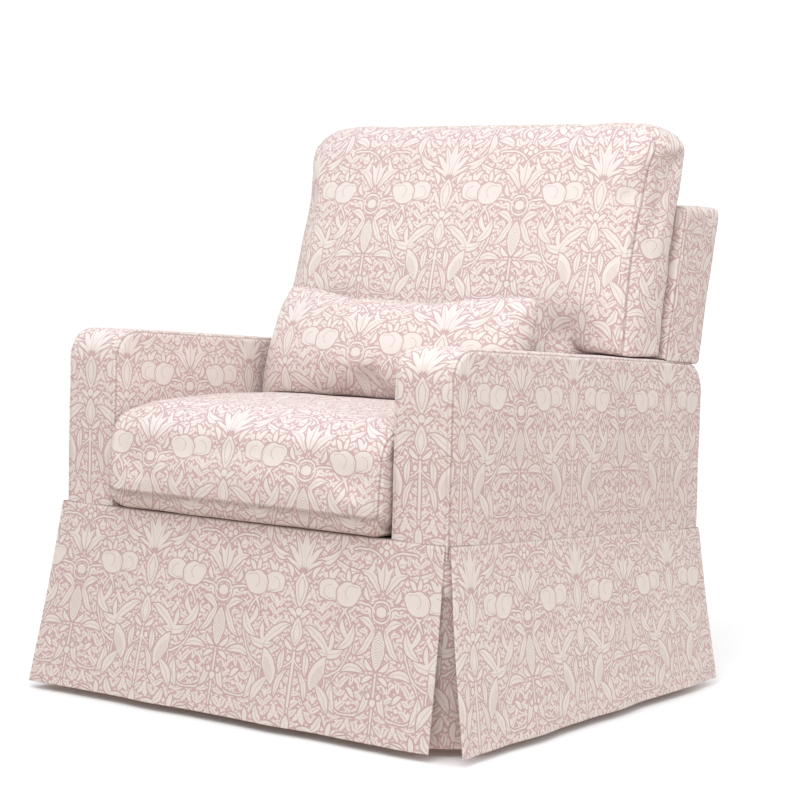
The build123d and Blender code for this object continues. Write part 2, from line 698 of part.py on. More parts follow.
def back_frame():
    """Wooden back: a wide upper frame and two long posts down the stem."""
    depth = (FRAME_OFFSET, FRAME_THICK)
    through = (FRAME_OFFSET - 2, FRAME_THICK + 4)
    low, top = BRACKET_TOP_Z + 0.3, BACK_TOP_Z - FRAME_INSET
    wide, narrow = WING_HALF - FRAME_INSET, STEM_HALF - FRAME_INSET
    frame = back_band(*depth, FRAME_WINGS_Z, top, wide)
    window = back_band(*through, FRAME_WINGS_Z + FRAME_BAR, top - FRAME_BAR, wide - FRAME_BAR)
    posts = back_band(*depth, low, top, narrow)
    posts -= back_band(*through, low + 50, top - FRAME_BAR, narrow - FRAME_BAR)
    return cut_bracket_screws(frame - window + posts)


def back_webbing():
    """Elastic straps across the front of the back frame."""
    depth = (FRAME_OFFSET - WEBBING_THICK - 0.1, WEBBING_THICK)
    straps = []
    for zs, half in ((STEM_WEBBING_ZS, STEM_HALF), (WING_WEBBING_ZS, WING_HALF)):
        for z in zs:
            straps.append(back_band(*depth, z, z + WEBBING_WIDTH, half - FRAME_INSET))
    return group(straps)


def bracket_screws(radius, head_radius=0.0):
    """Two screws forward into the spring rail and two up into the back frame, for each bracket."""
    screws = []
    z = seam_z(SPRING_RAIL_REAR_Y) - 40
    for x in (BRACKET_X - BRACKET_SCREW_STEP, BRACKET_X + BRACKET_SCREW_STEP):
        forward = Pos(x, SPRING_RAIL_REAR_Y - 8, z) * Rot(90, 0, 0) * Cylinder(radius, 26)
        upward = rod_z(x, BRACKET_SCREW_Y, BRACKET_TOP_Z - 6, BRACKET_TOP_Z + 26, radius)
        if head_radius:
            forward += Pos(x, SPRING_RAIL_REAR_Y + 6, z) * Rot(90, 0, 0) * Cylinder(head_radius, 3)
            upward += rod_z(x, BRACKET_SCREW_Y, BRACKET_TOP_Z - 7.4, BRACKET_TOP_Z - 4.4, head_radius)
        screws += [forward, mirrored(forward), upward, mirrored(upward)]
    return screws


def cut_bracket_screws(shape):
    for screw in bracket_screws(BRACKET_SCREW_HOLE_R):
        shape -= screw
    return shape


def back_brackets():
    """Two steel angles: a foot on the spring rail's rear face and a shelf that the back frame stands on."""
    low = seam_z(SPRING_RAIL_REAR_Y) - RAIL_BOTTOM_DROP + 8
    x_low, x_high = BRACKET_X - BRACKET_HALF_WIDTH, BRACKET_X + BRACKET_HALF_WIDTH
    face_y, shelf_y = SPRING_RAIL_REAR_Y + 0.2, back_front(STEM_LOW_Z) + 62
    angle = box(x_low, x_high, face_y, face_y + BRACKET_THICK, low, BRACKET_TOP_Z)
    angle += box(x_low, x_high, face_y, shelf_y, BRACKET_TOP_Z - BRACKET_THICK, BRACKET_TOP_Z)
    angle = cut_bracket_screws(angle)
    return group([angle, mirrored(angle)])


def rear_apron_board():
    """Plywood board behind the stem, between the arms."""
    front, rear = APRON_BOARD_Y, APRON_BOARD_Y + APRON_BOARD_THICK
    low, high = seam_z(front) - RAIL_TOP_DROP + 0.3, arm_top(front) - 8
    return side_prism([(front, low), (rear, low), (rear, high), (front, high)], -BOX_X, BOX_X)


def rear_apron_cover():
    """Padded cloth over the outside of the rear apron."""
    front, rear = APRON_COVER_Y, APRON_COVER_REAR_Y
    low, high = seam_z(front) - RAIL_BOTTOM_DROP, arm_top(REAR_Y) - 2
    return side_prism([(front, low), (rear, low), (rear, high), (front, high)], -BOX_X, BOX_X)


# ---------------------------------------------------------------- cushions


def seat_cushion(inset=0.0):
    """Crowned box cushion with a rolled front that laps over the front rail, shrunk by inset."""
    front, rear = SEAT_CUSHION_FRONT, SEAT_CUSHION_REAR

    def at(y, rise):
        return (y, seam_z(y) + rise)

    low, high = SEAT_CUSHION_LOW, SEAT_CUSHION_TOP
    flat_from = at(SEAT_CUSHION_FLAT_Y, high)
    top_front = at(front, high - 15)
    crown = at(SEAT_CUSHION_CROWN_Y, high + SEAT_CUSHION_CROWN)
    edge = Polyline(flat_from, at(rear, high - 3), at(rear, low), at(front, low), top_front)
    face = make_face([*edge.edges(), ThreePointArc(top_front, crown, flat_from)])
    face = fillet(face.vertices().sort_by(Axis.Y)[:2], SEAT_CUSHION_FRONT_R)
    face = fillet(face.vertices().sort_by(Axis.Y)[-2:], SEAT_CUSHION_REAR_R)
    if inset:
        face = offset(face, amount=-inset)
    half = INNER_X - SOFT_GAP - inset
    return extrude(Plane.YZ.offset(-half) * face, amount=2 * half)


def back_cushion(inset=0.0):
    """Crowned pillow back, shrunk by inset: a wide part over the arms and a stem between them."""
    low, top = seam_z(110) + SEAT_CUSHION_TOP + SOFT_GAP + 2, OVERALL_HEIGHT

    def front(z):
        return back_front(z) - BACK_CUSHION_DEPTH - SOFT_GAP

    def rear(z):
        return back_front(z) - SOFT_GAP

    middle = (low + top) / 2
    edge = Polyline((front(top), top), (rear(top), top), (rear(low), low), (front(low), low))
    crown = (front(middle) - BACK_CUSHION_CROWN, middle)
    face = make_face([*edge.edges(), ThreePointArc((front(low), low), crown, (front(top), top))])
    if inset:
        face = offset(face, amount=-inset, kind=Kind.INTERSECTION)
    half = BACK_CUSHION_HALF - inset
    cushion = extrude(Plane.YZ.offset(-half) * face, amount=2 * half)
    top_corners = cushion.edges().filter_by(Axis.Y, tolerance=14).group_by(Axis.Z)[-1]
    cushion = fillet(top_corners, BACK_CUSHION_CORNER_R - inset)
    top_front = cushion.edges().filter_by(Axis.X).group_by(Axis.Z)[-1].sort_by(Axis.Y)[0]
    cushion = fillet(top_front, BACK_CUSHION_EDGE_R - inset)
    wing_low = arm_top(front(BACK_FRONT_Z) - 20) + 5 + inset
    cut = box(INNER_X - SOFT_GAP - inset, 500, 0, 400, low - 20, wing_low)
    return cushion - cut - mirrored(cut)


def pillow_outline(span, thickness, edge, taper):
    """A long lens: two rounded ends of length taper, with a flat stretch between them when span allows."""
    end, half, thin = span / 2, thickness / 2, edge / 2
    flat = max(end - taper, 0)
    if flat > 0:
        knee = (end - taper * 0.45, half - (half - thin) * 0.20)
        over = [
            ThreePointArc((-end, thin), (-knee[0], knee[1]), (-flat, half)),
            Line((-flat, half), (flat, half)),
            ThreePointArc((flat, half), knee, (end, thin)),
        ]
    else:
        over = [ThreePointArc((-end, thin), (0, half), (end, thin))]
    under = [mirror(line, about=Plane.XZ) for line in over]
    sides = [Line((-end, thin), (-end, -thin)), Line((end, thin), (end, -thin))]
    return make_face([side for line in (*over, *under, *sides) for side in line.edges()])


def lumbar_pillow(inset=0.0):
    """Loose knife-edge pillow, leaning on the back cushion, shrunk by inset."""
    width, height = PILLOW_WIDTH - 2 * inset, PILLOW_HEIGHT - 2 * inset
    thick, edge = PILLOW_THICK - 2 * inset, max(PILLOW_EDGE - 1.5 * inset, 2.0)
    along = extrude(pillow_outline(width, thick, edge, PILLOW_TAPER), amount=height / 2, both=True)
    lens = Plane.YZ * Rot(0, 0, 90) * pillow_outline(height, thick, edge, height)
    across = extrude(lens, amount=width / 2, both=True)
    return Pos(*PILLOW_CENTRE) * Rot(-PILLOW_LEAN_DEG, 0, 0) * (along & across)


def cover_and_core(shape):
    """A cushion's sewn cover and the foam core inside it."""
    return shape(0.0) - shape(COVER_THICK), shape(COVER_THICK + CORE_GAP)


# ---------------------------------------------------------------- skirt


def sheet_between(top_line, hem_line, outward):
    """A thin sheet from its top line to its hem, thickened along outward. Lines are lists of (x, y, z)."""
    shift = Vector(*outward).normalized() * SKIRT_THICK
    loops = []
    for line in (top_line, hem_line):
        near = [Vector(*point) for point in line]
        far = [point + shift for point in reversed(near)]
        loops.append(make_face(Polyline(*near, *far, close=True)))
    return loft(loops, ruled=True)


def skirt_front():
    """Front panel: its right edge stands open at the pleat, and its left edge hangs closed."""
    top_y, hem_y = FRONT_Y - SKIRT_LEDGE, FRONT_Y - SKIRT_FRONT_FLARE
    top_line = [(-HALF_WIDTH, top_y, SEAM_FRONT_Z), (OPEN_TOP_X, top_y, SEAM_FRONT_Z)]
    hem_line = [(-HALF_WIDTH - SKIRT_SIDE_FLARE, hem_y, SKIRT_HEM_Z), (OPEN_HEM_X, hem_y, SKIRT_HEM_Z)]
    return sheet_between(top_line, hem_line, (0, -1, 0))


def skirt_rear():
    top_y, hem_y = REAR_Y + SKIRT_LEDGE, REAR_Y + SKIRT_REAR_FLARE
    top_z = seam_z(REAR_Y)
    top_line = [(-OPEN_TOP_X, top_y, top_z), (OPEN_TOP_X, top_y, top_z)]
    hem_line = [(-OPEN_HEM_X, hem_y, SKIRT_HEM_Z), (OPEN_HEM_X, hem_y, SKIRT_HEM_Z)]
    return sheet_between(top_line, hem_line, (0, 1, 0))


def skirt_side():
    top_x = HALF_WIDTH + SKIRT_LEDGE
    hem_x = HALF_WIDTH + SKIRT_SIDE_FLARE
    front, rear = FRONT_Y + 3, REAR_Y - 3
    top_line = [(top_x, front, seam_z(front)), (top_x, rear, seam_z(rear))]
    hem_front, hem_rear = FRONT_Y - SKIRT_FRONT_FLARE + 8, REAR_Y + SKIRT_REAR_FLARE - 4
    hem_line = [(hem_x, hem_front, SKIRT_HEM_Z), (hem_x, hem_rear, SKIRT_HEM_Z)]
    return sheet_between(top_line, hem_line, (1, 0, 0))


def pleat_line(way_y, corner, lap, near, far):
    """Plan of a pleat's backing, from behind the front or rear panel to behind the side panel.

    Distances are inward from the corner; near and far are those of the two bends.
    """
    offsets = [(lap, 1.5), (far, near), (near, far * 0.9), (1.5, lap * 0.9)]
    return [(corner[0] - x, corner[1] + way_y * y) for x, y in offsets]


def skirt_pleat(way_y):
    """Backing of the kick pleat at a front (way_y = 1) or rear (way_y = -1) corner."""
    y_edge = FRONT_Y if way_y > 0 else REAR_Y
    flare = SKIRT_FRONT_FLARE if way_y > 0 else SKIRT_REAR_FLARE
    top_z = seam_z(y_edge) - PLEAT_TOP_DROP
    down = PLEAT_TOP_DROP / (seam_z(y_edge) - SKIRT_HEM_Z)
    top_corner = (HALF_WIDTH + SKIRT_SIDE_FLARE * down - 1, y_edge - way_y * (flare * down - 1))
    hem_corner = (HALF_WIDTH + SKIRT_SIDE_FLARE - 2, y_edge - way_y * (flare - 2))
    top = pleat_line(way_y, top_corner, *PLEAT_TOP)
    hem = pleat_line(way_y, hem_corner, *PLEAT_HEM)
    return pleat_sheet(top, hem, top_z)


def pleat_sheet(top, hem, top_z):
    loops = []
    for line, z in ((top, top_z), (hem, SKIRT_HEM_Z + 1)):
        outer = [Vector(x, y, z) for x, y in line]
        centre = Vector(line[0][0], line[-1][1], z)
        inner = [point + (centre - point).normalized() * PLEAT_THICK for point in reversed(outer)]
        loops.append(make_face(Polyline(*outer, *inner, close=True)))
    return loft(loops, ruled=True)


# ---------------------------------------------------------------- assembly

def all_parts():
    parts = {
        "base_ring": base_ring(),
        "floor_pads": floor_pads(),
        "lower_swivel_plate": swivel_plate(CROSS_TOP_Z, SPINDLE_R),
        "swivel_balls": swivel_balls(),
        "spindle": spindle(),
        "upper_swivel_plate": swivel_plate(UPPER_PLATE_Z, SPINDLE_R + SPINDLE_FIT),
        "carriage_tubes": carriage_tubes(),
        "upper_pivot_pins": upper_pins(),
        "lower_pivot_pins": lower_pins(),
        "hanger_bolts": hanger_bolts(),
        "seat_front_rail": cross_rail(FRONT_RAIL_Y, FRONT_RAIL_REAR_Y),
        "seat_rear_rail": cross_rail(REAR_RAIL_Y, REAR_RAIL_Y + RAIL_THICK),
        "spring_rail": spring_rail(),
        "stretchers": stretchers(),
        "corner_blocks": corner_blocks(),
        "seat_springs": seat_springs(),
        "spring_clips": spring_clips(),
        "seat_deck": seat_deck(),
        "front_rail_cover": front_rail_cover(),
        "dust_cover": dust_cover(),
        "arm_bolts": arm_bolts(),
        "back_cover": back_cover(),
        "back_frame": back_frame(),
        "back_webbing": back_webbing(),
        "rear_apron_board": rear_apron_board(),
        "rear_apron_cover": rear_apron_cover(),
        "hanger_rails": hanger_rails(),
        "back_brackets": back_brackets(),
        "back_bracket_screws": group(bracket_screws(BRACKET_SCREW_R, BRACKET_SCREW_HEAD_R)),
        "skirt_front": skirt_front(),
        "skirt_rear": skirt_rear(),
    }
    both_sides = {
        "carriage_plate": carriage_plate(),
        "seat_side_rail": side_rail(),
        "arm_cover": arm_cover(),
        "arm_frame": arm_frame(),
        "skirt_side": skirt_side(),
        "skirt_pleat_front": skirt_pleat(1),
        "skirt_pleat_rear": skirt_pleat(-1),
    }
    for end, y in LINK_CORNERS.items():
        both_sides[f"link_{end}"] = link_strap(y)
        both_sides[f"link_bearings_{end}"] = link_bearings(y)
    cushions = {"seat_cushion": seat_cushion, "back_cushion": back_cushion, "lumbar_pillow": lumbar_pillow}
    for name, shape in cushions.items():
        parts[f"{name}_cover"], parts[f"{name}_core"] = cover_and_core(shape)
    for name, shape in both_sides.items():
        parts[f"{name}_right"] = shape
        parts[f"{name}_left"] = mirrored(shape)
    return parts


if __name__ == "__main__":
    os.makedirs("parts", exist_ok=True)
    for name, shape in all_parts().items():
        export_step(shape, f"parts/{name}.step")
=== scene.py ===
"""Looks of the skirted glider chair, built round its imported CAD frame. Metres, in the CAD's own frame."""

import math

import bpy
import numpy as np
from mathutils import Matrix, Vector, noise
from mathutils.bvhtree import BVHTree
from types import SimpleNamespace


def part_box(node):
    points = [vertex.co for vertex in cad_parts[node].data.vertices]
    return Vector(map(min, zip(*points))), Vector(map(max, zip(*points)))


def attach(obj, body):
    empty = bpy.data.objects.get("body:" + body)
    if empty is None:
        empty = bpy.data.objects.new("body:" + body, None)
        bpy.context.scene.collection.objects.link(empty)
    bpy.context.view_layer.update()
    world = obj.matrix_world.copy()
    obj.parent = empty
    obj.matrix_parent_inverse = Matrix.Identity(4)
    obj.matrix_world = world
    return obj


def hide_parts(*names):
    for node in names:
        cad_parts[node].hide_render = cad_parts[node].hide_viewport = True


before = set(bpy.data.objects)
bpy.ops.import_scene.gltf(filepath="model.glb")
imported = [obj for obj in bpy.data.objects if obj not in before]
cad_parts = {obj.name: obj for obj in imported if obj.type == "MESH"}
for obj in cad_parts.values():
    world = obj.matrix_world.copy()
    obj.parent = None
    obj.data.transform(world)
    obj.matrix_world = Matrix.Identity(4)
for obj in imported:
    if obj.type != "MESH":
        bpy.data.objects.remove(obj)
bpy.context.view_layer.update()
scene = bpy.context.scene

# ------------------------------------------------------------------ measures taken from the frame

arm_low, arm_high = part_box("arm_cover_right")
skirt_low, skirt_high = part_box("skirt_front")
seat_low, seat_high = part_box("seat_cushion_cover")
back_low, back_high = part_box("back_cover")
cushion_low, cushion_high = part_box("back_cushion_cover")
pillow_low, pillow_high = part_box("lumbar_pillow_cover")
border_low, border_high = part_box("front_rail_cover")
apron_low, apron_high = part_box("rear_apron_cover")

PITCH = math.tan(math.radians(3.12))     # the body sits back on its mechanism
LEAN = 0.23                              # run over rise of the back
BACK_Y, BACK_Z = 0.253, 0.580            # a place low on the front plane of the back frame
FRONT_Y = arm_low.y
REAR_Y = arm_high.y
SEAM_Z = skirt_high.z
HEM_Z = skirt_low.z
ARM_RISE = 0.2935                        # arm's top above the seam plane
BODY_DROP = 0.081                        # body's underside below the seam plane
HALF_WIDTH = arm_high.x
SKIRT_THICK = 0.0022


def seam_z(y):
    """Height of the seam plane that the skirt hangs from."""
    return SEAM_Z - PITCH * (y - FRONT_Y)


def arm_top(y):
    return seam_z(y) + ARM_RISE


def back_front(z):
    """Y of the front plane of the back frame."""
    return BACK_Y + LEAN * (z - BACK_Z)


# ------------------------------------------------------------------ camera, lights and floor

def make_camera():
    yaw, pitch, roll = (math.radians(a) for a in (35.05, 3.913, 1.504))
    ahead = Vector((-math.sin(yaw) * math.cos(pitch), math.cos(yaw) * math.cos(pitch), -math.sin(pitch)))
    level = Vector((math.cos(yaw), math.sin(yaw), 0))
    above = level.cross(ahead)
    right = math.cos(roll) * level + math.sin(roll) * above
    up = -math.sin(roll) * level + math.cos(roll) * above
    data = bpy.data.cameras.new("camera")
    data.lens, data.sensor_width = 95.27, 36
    camera = bpy.data.objects.new("camera", data)
    scene.collection.objects.link(camera)
    turn = Matrix((right, up, -ahead)).transposed()
    camera.matrix_world = Matrix.Translation((2.110, -2.999, 0.749)) @ turn.to_4x4()
    scene.camera = camera


WORLD_ABOVE = (1.05, 1.065, 1.07, 1)
WORLD_BELOW = (0.44, 0.29, 0.22, 1)


def area_light(name, place, target, size, power, colour):
    data = bpy.data.lights.new(name, "AREA")
    data.shape, data.size, data.energy, data.color = "DISK", size, power, colour
    light = bpy.data.objects.new(name, data)
    scene.collection.objects.link(light)
    light.location = place
    light.rotation_euler = (Vector(target) - Vector(place)).to_track_quat("-Z", "Y").to_euler()


def make_world():
    """White above the horizon, and a dim warm light from below, as from the dark floor of a studio."""
    world = bpy.data.worlds.new("studio")
    world.use_nodes = True
    tree = world.node_tree
    place = tree.nodes.new("ShaderNodeTexCoord")
    parts = tree.nodes.new("ShaderNodeSeparateXYZ")
    height = tree.nodes.new("ShaderNodeMapRange")
    height.interpolation_type = "SMOOTHSTEP"
    height.inputs["From Min"].default_value, height.inputs["From Max"].default_value = -0.55, -0.02
    blend = tree.nodes.new("ShaderNodeMix")
    blend.data_type = "RGBA"
    blend.inputs[6].default_value, blend.inputs[7].default_value = WORLD_BELOW, WORLD_ABOVE
    tree.links.new(place.outputs["Generated"], parts.inputs[0])
    tree.links.new(parts.outputs["Z"], height.inputs["Value"])
    tree.links.new(height.outputs["Result"], blend.inputs[0])
    tree.links.new(blend.outputs[2], tree.nodes["Background"].inputs["Color"])
    scene.world = world


def make_studio():
    make_world()
    scene.view_settings.view_transform = "Standard"
    area_light("key", (0.45, -1.10, 2.50), (0, -0.05, 0.45), 1.0, 11, (0.96, 0.99, 1.0))
    area_light("side", (1.70, -0.60, 1.05), (0.2, 0, 0.60), 1.6, 2.7, (1.0, 0.99, 0.98))
    area_light("fill", (0.95, -1.90, 2.00), (0, 0, 0.50), 1.2, 10, (0.98, 1.0, 1.0))
    floor = bpy.data.objects.new("floor", bpy.data.meshes.new("floor"))
    floor.data.from_pydata([(-9, -9, 0), (9, -9, 0), (9, 9, 0), (-9, 9, 0)], [], [(0, 1, 2, 3)])
    scene.collection.objects.link(floor)
    floor.visible_diffuse = False
    paper = bpy.data.materials.new("studio_paper")
    paper.use_nodes = True
    shader = paper.node_tree.nodes["Principled BSDF"]
    shader.inputs["Base Color"].default_value = (0.97, 0.97, 0.97, 1)
    shader.inputs["Roughness"].default_value = 0.9
    shader.inputs["Specular IOR Level"].default_value = 0.1
    floor.data.materials.append(paper)


make_camera()
make_studio()

# ------------------------------------------------------------------ node arithmetic


class Field:
    """A number that varies over a surface: the output of a node."""

    tree = None

    def __init__(self, socket):
        self.socket = socket

    def __add__(self, other): return op("ADD", self, other)
    def __radd__(self, other): return op("ADD", self, other)
    def __sub__(self, other): return op("SUBTRACT", self, other)
    def __rsub__(self, other): return op("SUBTRACT", other, self)
    def __mul__(self, other): return op("MULTIPLY", self, other)
    def __rmul__(self, other): return op("MULTIPLY", self, other)
    def __truediv__(self, other): return op("DIVIDE", self, other)
    def __neg__(self): return op("MULTIPLY", self, -1.0)


def node(kind, **settings):
    made = Field.tree.nodes.new("ShaderNode" + kind)
    for name, value in settings.items():
        setattr(made, name, value)
    return made


def feed(socket, value):
    """Gives a socket another node's output or a constant."""
    if isinstance(value, Field):
        value = value.socket
    if isinstance(value, bpy.types.NodeSocket):
        Field.tree.links.new(value, socket)
    else:
        socket.default_value = value


def op(kind, *values, clamp=False):
    made = node("Math", operation=kind, use_clamp=clamp)
    for socket, value in zip(made.inputs, values):
        feed(socket, value)
    return Field(made.outputs[0])


def vector_op(kind, *values, out=0):
    made = node("VectorMath", operation=kind)
    for socket, value in zip(made.inputs, values):
        feed(socket, value)
    return Field(made.outputs[out])


def lowest(*fields):
    """Least of several fields."""
    fields = list(fields)
    while len(fields) > 1:
        fields = [op("MINIMUM", *fields[i:i + 2]) if i + 1 < len(fields) else fields[i]
                  for i in range(0, len(fields), 2)]
    return fields[0]


def step(field, low, high):
    """0 below low, 1 above high, smooth between; the other way round when low is above high."""
    made = node("MapRange", interpolation_type="SMOOTHSTEP")
    backwards = low > high
    feed(made.inputs["Value"], field)
    feed(made.inputs["From Min"], min(low, high))
    feed(made.inputs["From Max"], max(low, high))
    feed(made.inputs["To Min"], 1.0 if backwards else 0.0)
    feed(made.inputs["To Max"], 0.0 if backwards else 1.0)
    return Field(made.outputs["Result"])


def mix(factor, first, second):
    """Colour from first, where factor is 0, to second, where it is 1."""
    made = node("Mix", data_type="RGBA")
    for name, value in (("Factor_Float", factor), ("A_Color", first), ("B_Color", second)):
        feed(next(s for s in made.inputs if s.identifier == name), value)
    return Field(next(s for s in made.outputs if s.identifier == "Result_Color"))


def noise_at(where, scale, detail=2.0, roughness=0.5, out=0):
    made = node("TexNoise")
    feed(made.inputs["Vector"], where)
    made.inputs["Scale"].default_value = scale
    made.inputs["Detail"].default_value = detail
    made.inputs["Roughness"].default_value = roughness
    return Field(made.outputs[out])


def rgb(red, green, blue):
    """Linear colour from 0-255 display values."""
    return tuple(((value / 255 + 0.055) / 1.055) ** 2.4 for value in (red, green, blue)) + (1,)


def start_material(name):
    made = bpy.data.materials.new(name)
    made.use_nodes = True
    Field.tree = made.node_tree
    return made, made.node_tree.nodes["Principled BSDF"]


def on_object():
    """Place on the object, in metres."""
    return Field(node("TexCoord").outputs["Object"])


def paint(shader, colour, roughness):
    feed(shader.inputs["Base Color"], colour)
    feed(shader.inputs["Roughness"], roughness)


def woven(where, scale, distortion, detail=2.0, detail_scale=1.0):
    """Height of a plain weave: bands of threads both ways across the cloth."""
    bands = []
    for direction in "XY":
        wave = node("TexWave", wave_type="BANDS", bands_direction=direction, wave_profile="SIN")
        feed(wave.inputs["Vector"], where)
        wave.inputs["Scale"].default_value = scale
        wave.inputs["Distortion"].default_value = distortion
        wave.inputs["Detail"].default_value = detail
        wave.inputs["Detail Scale"].default_value = detail_scale
        bands.append(Field(wave.outputs["Fac"]) * 0.5)
    return bands[0] + bands[1]


def add_bump(shader, height, distance, strength, under=None):
    made = node("Bump")
    made.inputs["Strength"].default_value = strength
    made.inputs["Distance"].default_value = distance
    feed(made.inputs["Height"], height)
    if under is not None:
        feed(made.inputs["Normal"], under)
    feed(shader.inputs["Normal"], made.outputs[0])
    return made.outputs[0]


# ------------------------------------------------------------------ printed cloth

HALF_REPEAT = 160.0                      # millimetres from one mirror line of the print to the next
TILE_LOW, TILE_HIGH = -190.0, 170.0      # heights between which the print runs before it starts again
SPRIG_SCALE = 0.72                       # the undergrowth is drawn this much smaller than it prints


class Print:
    """Shapes of the botanical print, as distances in millimetres, negative inside."""

    def __init__(self, x, y):
        joined = node("CombineXYZ")
        feed(joined.inputs[0], x)
        feed(joined.inputs[1], y)
        self.x, self.y, self.where = x, y, Field(joined.outputs[0])
        self.ribs = []

    def to(self, x, y):
        return vector_op("DISTANCE", self.where, (x, y, 0.0), out=1)

    def disc(self, x, y, radius):
        return self.to(x, y) - radius

    def ring(self, x, y, radius, thick):
        return op("ABSOLUTE", self.to(x, y) - radius) - thick / 2

    def leaf(self, base, tip, width, bend=0.0, rib=False):
        """Pointed leaf from base to tip that bulges by bend to the left of its heading; rib adds a vein."""
        (x0, y0), (x1, y1) = (base, tip) if bend >= 0 else (tip, base)
        bend = abs(bend)
        length = math.hypot(x1 - x0, y1 - y0)
        left = (-(y1 - y0) / length, (x1 - x0) / length)
        middle = ((x0 + x1) / 2, (y0 + y1) / 2)

        def edge(sagitta):
            """Distance from the centre of the arc through both ends with this sagitta, and its radius."""
            sagitta = math.copysign(max(abs(sagitta), 0.3), sagitta)
            radius = (length ** 2 / 4 + sagitta ** 2) / (2 * abs(sagitta))
            back = (abs(sagitta) - radius) * (1 if sagitta > 0 else -1)
            return self.to(middle[0] + left[0] * back, middle[1] + left[1] * back), radius

        far, far_radius = edge(bend + width / 2)
        near, near_radius = edge(bend - width / 2)
        inner = near - near_radius if bend < width / 2 else near_radius - near
        inside = op("MAXIMUM", far - far_radius, inner)
        if rib:
            vein, radius = edge(bend if abs(bend) > 0.4 else 0.4)
            self.ribs.append(op("MAXIMUM", op("ABSOLUTE", vein - radius) - 0.45, inside + 2.0))
        return inside

    def leaves(self, *rows):
        """Leaves: x and y of base and tip, width, and the bend and rib if there are any."""
        return [self.leaf((x0, y0), (x1, y1), *more) for x0, y0, x1, y1, *more in rows]

    def discs(self, *rows):
        return [self.disc(*row) for row in rows]

    def beyond(self, shape, nx, ny, offset):
        """The part of a shape where nx * x + ny * y is more than offset."""
        return op("MAXIMUM", shape, offset - vector_op("DOT_PRODUCT", self.where, (nx, ny, 0.0), out=1))

    def bar(self, x, low, high, thick):
        """Upright stem at x."""
        wide = op("ABSOLUTE", self.x - x) - thick / 2
        tall = op("ABSOLUTE", self.y - (low + high) / 2) - (high - low) / 2
        return op("MAXIMUM", wide, tall)


